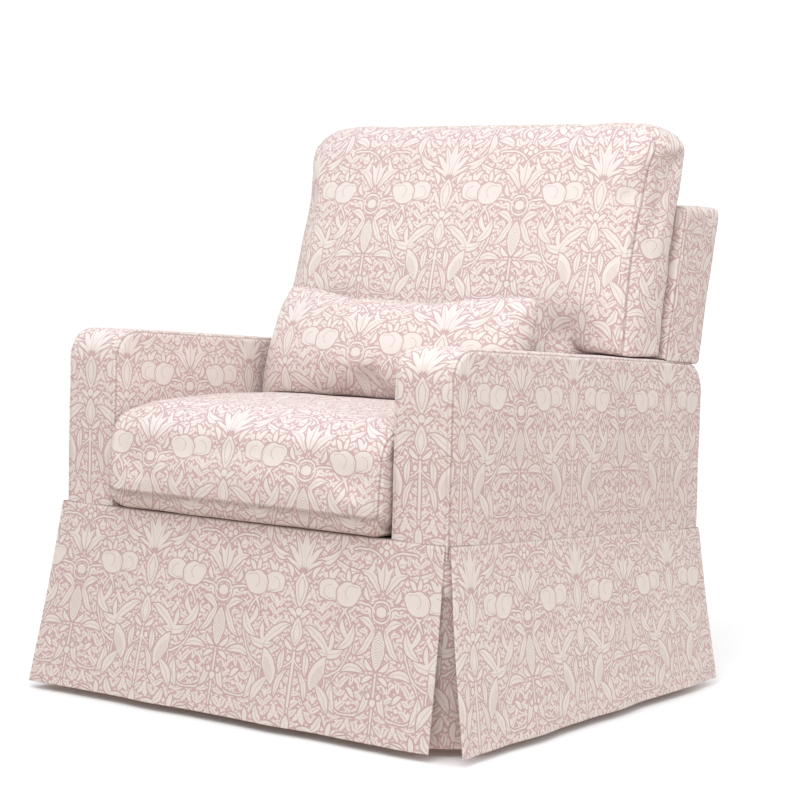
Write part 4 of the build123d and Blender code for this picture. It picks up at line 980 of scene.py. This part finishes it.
def make_arm(hand, side):
    """Padded arm: flat faces inside and outside, and one band that runs up the front and over the top."""
    middle, half = (arm_low.x + arm_high.x) / 2, (arm_high.x - arm_low.x) / 2
    radius, corner = 0.009, 0.05
    inset = radius * SEAM_INSET
    low, high = SEAM_Z - BODY_DROP + inset, SEAM_Z + ARM_RISE - inset

    def place(p, q, w):
        return np.column_stack([side * (middle + w), p, q - PITCH * (p - FRONT_Y)])

    ps = lines((FRONT_Y + inset, REAR_Y - inset), 0.014)
    qs = lines((low, high), 0.014)
    slab = Slab("arm_" + hand, ps, qs, half, radius, place, crown=(0.0030, 0.0015),
                corners=((FRONT_Y + inset, high, corner), (REAR_Y - inset, high, corner)),
                start=(FRONT_Y + inset, low), wall_step=0.011, bulge=0.002)
    total = slab.around[-1]

    def panel_uv(p, q, _):
        return p + 0.065, q - PRINT_FOOT

    def wall_uv(s, w):
        return w, (total - s) + low - PRINT_FOOT

    ob = slab.build(panel_uv, wall_uv)
    if side < 0:
        ob.data.flip_normals()
    sewn(ob, slab, 3 + side, stitch_on="wall")
    finish_piece(ob, "seat", ["arm_cover_" + hand])
    stitches(slab, "seat", ob, on="wall", skip=lambda point: point[2] < seam_z(point[1]) + 0.001)
    return ob


# ------------------------------------------------------------------ back

def make_back(arms):
    """Padded back frame: its wings stand on the arms and its stem goes down between them."""
    half, radius = 0.063, 0.010
    inset = radius * SEAM_INSET
    wing, stem = back_high.x - inset, 0.277 - inset
    wing_low = arm_top(BACK_Y) + 0.0015 + inset
    low, high = back_low.z + inset, back_high.z - inset

    def place(p, q, w):
        front = back_front(q)
        blend = np.clip((q - (wing_low - 0.03)) / 0.03, 0, 1)
        thick = (0.332 - front) * (1 - blend) + 0.126 * blend
        y = front + thick * (half - w) / (2 * half)
        # the underside of the wings falls towards the rear, like the tops of the arms
        fall = np.clip(1 - abs(q - wing_low) / 0.10, 0, 1)
        return np.column_stack([p, y, q - PITCH * (y - BACK_Y) * fall])

    ps = lines((-wing, -stem, stem, wing), 0.015)
    qs = lines((low, wing_low, high), 0.015)
    slab = Slab("back_slab", ps, qs, half, radius, place, crown=(0.001, 0.003), start=(0, low),
                keep=lambda p, q: (q > wing_low) | (abs(p) < stem), wall_step=0.011, bulge=0.0015,
                corners=((-wing, high, 0.012), (wing, high, 0.012)))
    top = slab.around[-1] / 2

    def panel_uv(p, q, side):
        return p * side + 0.025, q - 0.740

    def wall_uv(s, w):
        return w + 0.10, 0.30 - abs(s - top)

    ob = slab.build(panel_uv, wall_uv)
    sewn(ob, slab, 11, stitch_on="wall")
    set_points(ob.data, stood_on(points_of(ob.data), arms, 0.03))
    finish_piece(ob, "seat", ["back_cover"])
    stitches(slab, "seat", ob, on="wall", skip=lambda point: point[2] < wing_low)


# ------------------------------------------------------------------ cushions

def make_seat_cushion():
    """Loose seat cushion with a rolled front, cut as two side panels and a long band."""
    half, radius = seat_high.x, 0.012
    front, rear = seat_low.y, seat_high.y
    low, high = 0.0015, 0.165
    lower_seam = 0.030

    # rise of the top above the seam plane: highest a third of the way back, lower under the back cushion
    crest, shelf = -0.12, 0.105
    span = np.linspace(front, shelf, 40)
    arch = 0.188 - np.where(span < crest, 0.025 * (abs(crest - span) / (crest - front)) ** 1.6,
                            0.024 * (abs(span - crest) / (shelf - crest)) ** 3)
    span, arch = np.append(span, rear), np.append(arch, 0.162)

    def place(p, q, w):
        share = np.clip((q - low) / (high - low), 0, 1)
        out = np.clip(abs(w) / half, 0, 1)
        tops = np.interp(p, span, arch) - 0.006 * out ** 5
        pull = 0.003 * np.sin(np.pi * np.clip((p - front) / (rear - front), 0, 1)) * out
        # the lower ends of the front roll up towards the side seams
        size = np.where(w < 0, 0.034, 0.020)
        end = np.clip(abs(w) - (half - size), 0, size)
        roll = (size - np.sqrt(size ** 2 - end ** 2)) * (1 - share) ** 3 * np.clip((-0.25 - p) / 0.12, 0, 1)
        return np.column_stack([w - np.sign(w) * pull, p, seam_z(p) + low + (tops - low) * share + roll])

    def form(fine, step_size):
        ps = lines((front + 0.001, rear), step_size, fine)
        qs = lines((low, lower_seam, high) if fine else (low, high), step_size, fine)
        return Slab("seat_cushion", ps, qs, half, radius, place, fine=fine, reach=0.05,
                    corners=((front + 0.001, high, 0.045), (front + 0.001, low, 0.026),
                             (rear, high, 0.016), (rear, low, 0.016)),
                    start=(front, lower_seam), wall_step=0.015)

    slab = form(True, 0.012)
    total = slab.around[-1]

    def panel_uv(p, q, _):
        return p, q + 0.05

    def wall_uv(s, w):
        return w + 0.025, np.where(s > total * 0.02, total - s, -s) - 0.085

    ob = slab.build(panel_uv, wall_uv)
    coarse = form(False, 0.017)
    rest, move = simulated(coarse, 3.0, ease=0.02, cap=0.012,
                           hold=lambda pts: pts[:, 2] < seam_z(pts[:, 1]) + 0.012)
    move[:, 0] *= 0.2          # the ends fill the space between the arms
    set_points(ob.data, carried(points_of(ob.data), coarse, rest, move))
    around = np.minimum(slab.seam_along, total - slab.seam_along)
    sewn(ob, slab, 21, stitch_on="wall", ease=0.0014, undulation=0.0016,
         cross=np.where(slab.is_wall, around, 1.0))
    finish_piece(ob, "seat_cushion", ["seat_cushion_cover", "seat_cushion_core"])
    stitches(slab, "seat_cushion", ob, on="wall")
    return ob


def make_back_cushion(arms):
    """Back cushion: wings over the arms, a stem between them, and a front that rolls over the top."""
    half, radius = 0.056, 0.024
    inset = radius * SEAM_INSET
    wing, stem = cushion_high.x - inset, 0.278 - inset
    low, high = cushion_low.z + 0.004 + inset, cushion_high.z - inset
    wing_low = 0.5917 + inset
    waist = 0.80                         # height where the sides pull in most

    def place(p, q, w):
        share = (w + half) / (2 * half)
        depth = 0.112 + 0.012 * np.clip(1 - ((q - 0.72) / 0.26) ** 2, 0, 1)
        # the front rolls over the top, and the top is level and drops off at its ends
        roll = 1 - 0.36 * (1 - np.sqrt(1 - np.clip((q - high + 0.050) / 0.056, 0, 1) ** 2))
        out = abs(p)
        end = np.clip((out - wing + 0.075) / 0.075, 0, 1.1) ** 2
        even = 0.0013 * np.exp(-((out - 0.255) / 0.040) ** 2) - 0.0022 * np.exp(-((out - 0.315) / 0.022) ** 2)
        lift = (0.013 - 0.024 * end + even) * np.clip((q - waist) / (high - waist), 0, 1) ** 2
        # the sides pull in between the corners
        pull = 0.005 * np.clip(1 - ((q - waist) / 0.18) ** 2, 0, 1) * np.sign(p)
        pull = pull * np.clip(out / wing, 0, 1) ** 3
        y = back_front(q) - 0.002 - depth * (0.5 + (share - 0.5) * roll)
        return np.column_stack([p - pull, y, q + lift])

    def form(fine, step_size):
        ps = lines((-wing, -stem, stem, wing), step_size, fine)
        qs = lines((low, wing_low, high), step_size, fine)
        return Slab("back_cushion", ps, qs, half, radius, place, fine=fine, crown=(0.010, 0.0), reach=0.07,
                    start=(0, low), keep=lambda p, q: (q > wing_low) | (abs(p) < stem), wall_step=0.012,
                    corners=((-wing, high, 0.026), (wing, high, 0.026)), bulge=0.003)

    slab = form(True, 0.014)
    top = slab.around[-1] / 2
    # one piece of cloth covers the front and the top, so the seams run up the sides only
    over_top = (slab.soft[:, 1] > high - 0.012) & (abs(slab.soft[:, 0]) < wing - 0.014)
    under_wings = (abs(slab.soft[:, 1] - wing_low) < 0.016) & (abs(slab.soft[:, 0]) < wing - 0.014)
    slab.seam_away[over_top | under_wings] = 1.0

    def panel_uv(p, q, side):
        return p * side + 0.025, q - 0.86

    def wall_uv(s, w):
        return w + 0.08, 0.20 - abs(s - top)

    ob = slab.build(panel_uv, wall_uv)
    coarse = form(False, 0.018)
    rest, move = simulated(coarse, 3.0, ease=0.02, cap=0.014,
                           hold=lambda pts: pts[:, 1] > back_front(pts[:, 2]) - 0.010)
    set_points(ob.data, carried(points_of(ob.data), coarse, rest, move))
    sewn(ob, slab, 31, stitch_on="panel", ease=0.0013, undulation=0.0018)
    set_points(ob.data, stood_on(points_of(ob.data), arms, 0.05))
    finish_piece(ob, "seat", ["back_cushion_cover", "back_cushion_core"])
    stitches(slab, "seat", ob, sides=(1,), skip=lambda point: not wing_low + 0.012 < point[2] < high - 0.02)


def make_pillow(seat):
    """Two cut panels sewn round the edge, turned out and filled: a knife edge with gathered corners."""
    width, height, thick = 0.532, 0.226, 0.156
    columns, rows = 76, 32
    us, vs = np.linspace(-1, 1, columns + 1), np.linspace(-1, 1, rows + 1)
    gu, gv = np.meshgrid(us, vs, indexing="ij")
    x = gu * width / 2 * (1 - 0.020 * (1 - gv ** 2) * abs(gu) ** 3)
    z = gv * height / 2 * (1 + (0.085 * (1 - abs(gu) ** 2.5) - 0.05 * abs(gu) ** 8) * abs(gv) ** 3)
    body = (1 - gu ** 8).clip(0) ** 0.5 * (1 - gv ** 2).clip(0) ** 0.6
    number = -np.ones((2, columns + 1, rows + 1), int)
    verts, away = [], []
    for face in (0, 1):
        for i in range(columns + 1):
            for j in range(rows + 1):
                rim = i in (0, columns) or j in (0, rows)
                if face and rim:
                    number[1, i, j] = number[0, i, j]
                    continue
                number[face, i, j] = len(verts)
                side = -1 if face == 0 else 1
                verts.append((x[i, j], side * thick * 0.42 * body[i, j], z[i, j]))
                away.append(min((1 - abs(gu[i, j])) * width, (1 - abs(gv[i, j])) * height) / 2)
    faces, flat = [], []
    for face in (0, 1):
        for i in range(columns):
            for j in range(rows):
                cells = [(i, j), (i + 1, j), (i + 1, j + 1), (i, j + 1)]
                if face:
                    cells.reverse()
                faces.append([number[face, a, b] for a, b in cells])
                flat += [(us[a] * width / 2 + 0.185, vs[b] * height / 2 + 0.005) for a, b in cells]
    away, faces = np.array(away), np.array(faces)
    panels = SimpleNamespace(points=np.array(verts), faces=faces, seam_away=away)
    rest, move = simulated(panels, 5.0, frames=24, ease=0.05, cap=0.03, tension=9.0, quality=8)
    filled = rest + move
    size = filled.max(axis=0) - filled.min(axis=0)
    filled -= (filled.max(axis=0) + filled.min(axis=0)) / 2
    ob = mesh_object("lumbar_pillow", filled * np.array([width, thick, height]) / size, faces)
    layer = ob.data.uv_layers.new(name="Pattern")
    layer.data.foreach_set("uv", np.array(flat, np.float32).ravel())
    points, normals = points_of(ob.data), normals_of(ob.data)
    # gathers along the sewn edge, deepest at the corners
    spread = abs(points[:, 0]) / width * 2
    edgewise = np.where(spread > abs(points[:, 2]) / height * 2, points[:, 2], points[:, 0])
    corner = np.clip(spread * abs(points[:, 2]) / height * 2, 0, 1) ** 2
    gather = np.sin(edgewise / 0.0155 * 2 * math.pi + 2.4 * np.sin(edgewise / 0.031)) * np.exp(-away / 0.022)
    rise = 0.0014 * noise_over(points, 0.05, 41) - 0.0006 * np.exp(-(away / 0.004) ** 2)
    rise += gather * (0.0009 + 0.0020 * corner) * (1 - np.exp(-away / 0.004))
    # creases that fan out from each corner
    from_corner = np.column_stack([width / 2 - abs(points[:, 0]), height / 2 - abs(points[:, 2])])
    reach = np.hypot(*from_corner.T)
    fan = np.arctan2(from_corner[:, 1], from_corner[:, 0]) * 11 + 1.3 * np.sign(points[:, 0])
    rise += 0.0030 * np.sin(fan) * np.exp(-(reach / 0.062) ** 2) * (1 - np.exp(-reach / 0.012))
    points += normals * rise[:, None]
    # the pillow leans on the back cushion
    lean = Matrix.Rotation(math.radians(-20.7), 3, "X") @ Matrix.Rotation(math.radians(0.7), 3, "Y")
    centre = (pillow_low + pillow_high) / 2
    points = points @ np.array(lean).T + np.array(centre) + np.array((0.0, 0.0, -0.004))
    # flat where it stands on the seat cushion
    seat_tree, gap = surface_tree(seat), 0.0015
    for index, (x, y, z) in enumerate(points):
        hit = straight_down(seat_tree, x, y)
        if hit is not None and z < hit.z + gap:
            points[index, 2] = hit.z + gap
    set_points(ob.data, points)
    finish_piece(ob, "lumbar_pillow", ["lumbar_pillow_cover", "lumbar_pillow_core"])
    return ob


# ------------------------------------------------------------------ thin sheets

def sheet_object(name, surface, outward, thick, uv, columns, rows):
    """A closed thin sheet. surface(s, t) is its outer face: s runs across, and t from 0 at the top to 1.

    outward(s, t) points out of that face. thick is the thickness, or a function of t that gives it.
    """
    s, t = (grid.ravel() for grid in np.meshgrid(columns, rows, indexing="ij"))
    outer = surface(s, t)
    depth = thick(t)[:, None] if callable(thick) else thick
    inner = outer - outward(s, t) * depth
    count = len(outer)
    index = np.arange(count).reshape(len(columns), len(rows))
    corners = index[:-1, :-1], index[1:, :-1], index[1:, 1:], index[:-1, 1:]
    a, b, c, d = (corner.ravel() for corner in corners)
    faces = [np.stack([a, d, c, b], axis=1), count + np.stack([a, b, c, d], axis=1)]
    rim = np.concatenate([index[:, 0], index[-1, 1:], index[-2::-1, -1], index[0, -2:0:-1]])
    after = np.roll(rim, -1)
    faces.append(np.stack([rim, after, after + count, rim + count], axis=1))
    faces = np.concatenate(faces)
    ob = mesh_object(name, np.concatenate([outer, inner]), faces)
    layer = ob.data.uv_layers.new(name="Pattern")
    layer.data.foreach_set("uv", np.tile(uv(s, t), (2, 1))[faces].astype(np.float32).ravel())
    return ob


def skirt_rows():
    """Rows from the seam to the hem, closer at the seam and at the hem's fold."""
    return np.concatenate([np.array([0, 0.002, 0.005, 0.008, 0.014, 0.022]), np.linspace(0.034, 0.90, 34),
                           np.array([0.915, 0.925, 0.935, 0.95, 0.965, 0.978, 0.988, 0.995, 1.0])])


def hem_thickness(t):
    """The hem is turned up once inside, so it is thicker below its fold."""
    return SKIRT_THICK + 0.0012 / (1 + np.exp(-(t - 0.925) / 0.004))


def make_skirt(name, top, hem, out, shift, open_low, open_high, seed):
    """One hanging panel, between its end points on the body, top, and at the floor, hem.

    out points away from the body. An open side is turned back inside in a soft fold along the pleat.
    """
    top, hem, out = (np.array(v) for v in (top, hem, out))
    turn = 0.022                       # cloth turned back at an open edge
    fold = 0.0018                      # radius of that fold
    wave = 0.003                       # how far the hem sways in and out
    ends = np.array([0, 0.0015, 0.003, 0.0045, 0.006, 0.009, 0.014, 0.022])
    width = float(np.linalg.norm(hem[1] - hem[0]))
    body = np.linspace(ends[-1], width - ends[-1], int(width / 0.012))
    columns = np.concatenate([ends, body[1:-1], width - ends[::-1]])
    half_turn = math.pi * fold
    folded = np.concatenate([np.array([0.25, 0.5, 0.75, 1.0]) * half_turn,
                             half_turn + np.array([0.004, 0.009, 0.015, turn])])
    columns = np.concatenate([-folded[::-1] if open_low else [], columns,
                              width + folded if open_high else []])
    drop = float(np.linalg.norm((hem[0] + hem[1] - top[0] - top[1]) / 2))
    side = (top[1] - top[0]) / np.linalg.norm(top[1] - top[0])

    def round_fold(s):
        """How far past the panel's open side s is, and the angle it has reached round the fold."""
        over = np.where(s < 0, s, np.where(s > width, s - width, 0.0))
        return over, np.clip(abs(over) / fold, 0, math.pi)

    def surface(s, t):
        inside = np.clip(s, 0, width) / width
        start = top[0] + (top[1] - top[0]) * inside[:, None]
        end = hem[0] + (hem[1] - hem[0]) * inside[:, None]
        point = start + (end - start) * t[:, None]
        across = inside * width * 2 * math.pi
        sway = 0.7 * np.sin(across / 0.235 + seed) + 0.3 * np.sin(across / 0.13 + 2 * seed)
        bulge = wave * sway * t ** 1.4
        seam = 0.0004 * np.exp(-((t - 0.016) / 0.010) ** 2) - 0.0020 * np.exp(-(t / 0.006) ** 2)
        hollow = 0.0024 * np.sin(math.pi * t) ** 1.5
        over, angle = round_fold(s)
        along = np.sign(over) * (fold * np.sin(angle) - np.clip(abs(over) - half_turn, 0, None))
        lift = bulge + seam - hollow - fold * (1 - np.cos(angle))
        return point + out * lift[:, None] + side * along[:, None]

    def outward(s, t):
        over, angle = round_fold(s)
        return out * np.cos(angle)[:, None] + side * (np.sign(over) * np.sin(angle))[:, None]

    def uv(s, t):
        return np.column_stack([s - width / 2 + shift, 0.090 - t * drop])

    rows = skirt_rows()
    ob = sheet_object(name, surface, outward, hem_thickness, uv, columns, rows)
    # painted shade: a dark line along the top rows, where the panel's top edge meets the arm
    paint_seam_shade(ob, np.tile(np.exp(-(rows * drop / 0.0021) ** 2) * 1.6, 2 * len(columns)))
    finish_piece(ob, "seat", [name.replace("panel", "skirt")])
    top_width = float(np.linalg.norm(top[1] - top[0]))


def make_pleat(name, way_x, way_y, seed):
    """Backing of the kick pleat at a corner, seen through the gap between two panels."""
    edge_y = FRONT_Y if way_y > 0 else REAR_Y
    flare = 0.028 if way_y > 0 else 0.006
    side_flare = 0.046
    top_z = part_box(name)[1].z
    down = 0.086 / (seam_z(edge_y) - HEM_Z)

    def plan(corner, lap, near, far):
        offsets = [(lap, 0.006), (far, near), (near, far * 0.9), (0.006, lap * 0.9)]
        return np.array([(corner[0] - a, corner[1] + way_y * b) for a, b in offsets])

    top_corner = (HALF_WIDTH + side_flare * down - 0.001, edge_y - way_y * (flare * down - 0.001))
    hem_corner = (HALF_WIDTH + side_flare - 0.002, edge_y - way_y * (flare - 0.002))
    top_plan = plan(top_corner, 0.070, 0.009, 0.024)
    tuck = 0.064                       # the backing runs up in front of the body's lower edge
    hem_plan = plan(hem_corner, 0.112, 0.031, 0.066)
    # the cloth rounds the bends of the plan
    share = np.linspace(0, 1, 61)

    def rounded_line(points):
        lengths = np.concatenate([[0], np.cumsum(np.hypot(*np.diff(points, axis=0).T))])
        dense = np.column_stack([np.interp(share * lengths[-1], lengths, points[:, k]) for k in (0, 1)])
        for _ in range(10):
            dense[1:-1] = dense[1:-1] * 0.5 + (dense[:-2] + dense[2:]) * 0.25
        return dense, lengths[-1]

    top_line, top_length = rounded_line(top_plan)
    hem_line, hem_length = rounded_line(hem_plan)
    hem_z = HEM_Z + 0.001
    drop = top_z - hem_z
    rows = np.concatenate([np.array([-tuck, 0.004 - tuck, 0.012 - tuck, -tuck / 2, -0.007, -0.002]) / drop,
                           np.linspace(0.01, 0.9, 22),
                           np.array([0.92, 0.94, 0.96, 0.98, 0.99, 1.0])])

    def at(s, t):
        k = s / hem_length * 60
        near = np.clip(k.astype(int), 0, 59)
        part = (k - near)[:, None]
        over = top_line[near] * (1 - part) + top_line[near + 1] * part
        under = hem_line[near] * (1 - part) + hem_line[near + 1] * part
        return over * (1 - t[:, None]) + under * t[:, None]

    def surface(s, t):
        flat = at(s, np.maximum(t, 0))
        beside = t * drop < -0.004
        past_side = HALF_WIDTH + 0.0026 - flat[:, 0]
        past_end = way_y * flat[:, 1] - way_y * edge_y + 0.0026
        within = beside & (past_side > 0) & (past_end > 0)
        flat[:, 0] += np.where(within & (past_side <= past_end), past_side, 0)
        flat[:, 1] -= way_y * np.where(within & (past_side > past_end), past_end, 0)
        return np.column_stack([way_x * flat[:, 0], flat[:, 1], top_z - t * drop])

    def outward(s, t):
        t = np.maximum(t, 0)
        ahead = at(np.minimum(s + 0.002, hem_length), t) - at(np.maximum(s - 0.002, 0), t)
        ahead /= np.hypot(*ahead.T)[:, None]
        normal = np.column_stack([ahead[:, 1], -ahead[:, 0]])
        corner = np.array(hem_corner)
        flip = np.sign(((corner - hem_line[30]) * normal).sum(axis=1))[:, None]
        normal *= np.where(flip == 0, 1, flip)
        return np.column_stack([way_x * normal[:, 0], normal[:, 1], np.zeros(len(s))])

    def uv(s, t):
        return np.column_stack([s + seed * 0.071, -t * drop - 0.02])

    columns = np.linspace(0, hem_length, 61)
    ob = sheet_object(name.replace("skirt_", ""), surface, outward, 0.0018, uv, columns, rows)
    # painted shade over the top of the backing, where it tucks up under the body
    paint_seam_shade(ob, np.tile(np.exp(-((rows * drop + tuck) / 0.006) ** 2), 2 * len(columns)))
    finish_piece(ob, "seat", [name])
    length = drop + tuck
    round((hem_length + top_length) / 2 * length, 4)


def make_border():
    """Cloth drawn over the front rail between the arms, turned over its top."""
    half, turn = border_high.x, 0.008  # turn is the radius of its bend over the rail
    top_run, bend, front_run = border_high.y - border_low.y - turn, turn * math.pi / 2, BODY_DROP - 0.010
    total = top_run + bend + front_run

    def profile(along):
        """Y, drop below the seam plane and slope, that far along the cloth from its rear edge."""
        angle = np.clip((along - top_run) / turn, 0, math.pi / 2)
        y = border_high.y - np.minimum(along, top_run) - turn * np.sin(angle)
        drop = 0.002 + turn * (1 - np.cos(angle)) + np.maximum(along - top_run - bend, 0)
        return y, drop, angle

    def surface(s, t):
        y, drop, _ = profile(t * total)
        return np.column_stack([s, y, seam_z(y) - drop + 0.0006 * np.sin(s / 0.04) * np.sin(math.pi * t)])

    def outward(s, t):
        angle = profile(t * total)[2]
        return np.column_stack([s * 0, -np.sin(angle), np.cos(angle)])

    ob = sheet_object("front_border", surface, outward, 0.0016,
                      lambda s, t: np.column_stack([s + 0.205, 0.09 - t * total]),
                      np.linspace(-half, half, 50), np.linspace(0, 1, 36))
    finish_piece(ob, "seat", ["front_rail_cover"])


def make_apron():
    """Padded outside panel of the rear, between the arms."""
    half, radius, middle = 0.0034, 0.0016, (apron_low.y + apron_high.y) / 2
    inset = radius * SEAM_INSET

    def place(p, q, w):
        return np.column_stack([p, middle - w, q])

    slab = Slab("rear_apron", lines((apron_low.x + inset, apron_high.x - inset), 0.016),
                lines((apron_low.z + inset, apron_high.z - inset), 0.016), half, radius, place,
                crown=(0.0, 0.0035), reach=0.05)
    ob = slab.build(lambda p, q, side: (p + 0.025, q - PRINT_FOOT), lambda s, w: (s, w))
    sewn(ob, slab, 51)
    finish_piece(ob, "seat", ["rear_apron_cover"])


def make_flat_cloth(name, node_name, material, drop, thick, size, ripple):
    """Lining sheet stretched parallel to the seam plane, drop below it."""
    low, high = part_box(node_name)
    width, length = high.x - low.x, high.y - low.y

    def surface(s, t):
        y = low.y + t * length
        wave = ripple * np.sin(s / 0.050 * math.pi) * np.sin(y / 0.055 * math.pi)
        hem = 0.0004 * np.exp(-((np.minimum(t, 1 - t) * length - 0.016) / 0.002) ** 2)
        return np.column_stack([s, y, seam_z(y) - drop + wave - hem])

    ob = sheet_object(name, surface, lambda s, t: np.tile((0.0, 0.0, 1.0), (len(s), 1)), thick,
                      lambda s, t: np.column_stack([s, t * length]),
                      np.linspace(low.x, high.x, size), np.linspace(0, 1, size))
    ob.data.flip_normals()
    finish_piece(ob, "seat", [node_name], material=material)


# ------------------------------------------------------------------ assembly

arms = [surface_tree(make_arm(hand, side)) for hand, side in (("right", 1), ("left", -1))]
make_back(arms)
seat_cushion = make_seat_cushion()
make_back_cushion(arms)
make_pillow(seat_cushion)
make_border()
make_apron()
make_flat_cloth("deck_lining", "seat_deck", DECK, 0.0022, 0.0030, 57, 0.0005)
make_flat_cloth("dust_lining", "dust_cover", DUST, BODY_DROP + 0.0003, 0.0010, 61, 0.0002)

PROUD = 0.0034                           # how far outside the body the top of a panel lies
front_y, rear_y, rear_z = FRONT_Y - PROUD, REAR_Y + PROUD, seam_z(REAR_Y)
side_top = [(HALF_WIDTH + PROUD, y, seam_z(y)) for y in (-0.407, 0.387)]
make_skirt("panel_front", ((-HALF_WIDTH - 0.003, front_y, SEAM_Z), (HALF_WIDTH - 0.008, front_y, SEAM_Z)),
           ((-0.4385, -0.4410, HEM_Z), (0.380, -0.4410, HEM_Z)), (0, -1, 0), 0.178, False, True, 0.6)
make_skirt("panel_side_right", side_top, ((0.4390, -0.430, HEM_Z), (0.4390, 0.392, HEM_Z)), (1, 0, 0),
           0.045, True, True, 1.9)
make_skirt("panel_side_left", [(-x, y, z) for x, y, z in reversed(side_top)],
           ((-0.4390, 0.392, HEM_Z), (-0.4390, -0.432, HEM_Z)), (-1, 0, 0), 0.045, True, False, 2.7)
make_skirt("panel_rear", ((0.382, rear_y, rear_z), (-0.382, rear_y, rear_z)),
           ((0.380, 0.3990, HEM_Z), (-0.380, 0.3990, HEM_Z)), (0, 1, 0), 0.0, True, True, 3.8)
for number, (way_x, way_y) in enumerate(((1, 1), (-1, 1), (1, -1), (-1, -1))):
    place = f"{'front' if way_y > 0 else 'rear'}_{'right' if way_x > 0 else 'left'}"
    make_pleat("skirt_pleat_" + place, way_x, way_y, number)

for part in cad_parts.values():
    for finish in part.material_slots:
        if finish.material and finish.material.name in NODE_MATERIALS:
            finish.material = NODE_MATERIALS[finish.material.name]
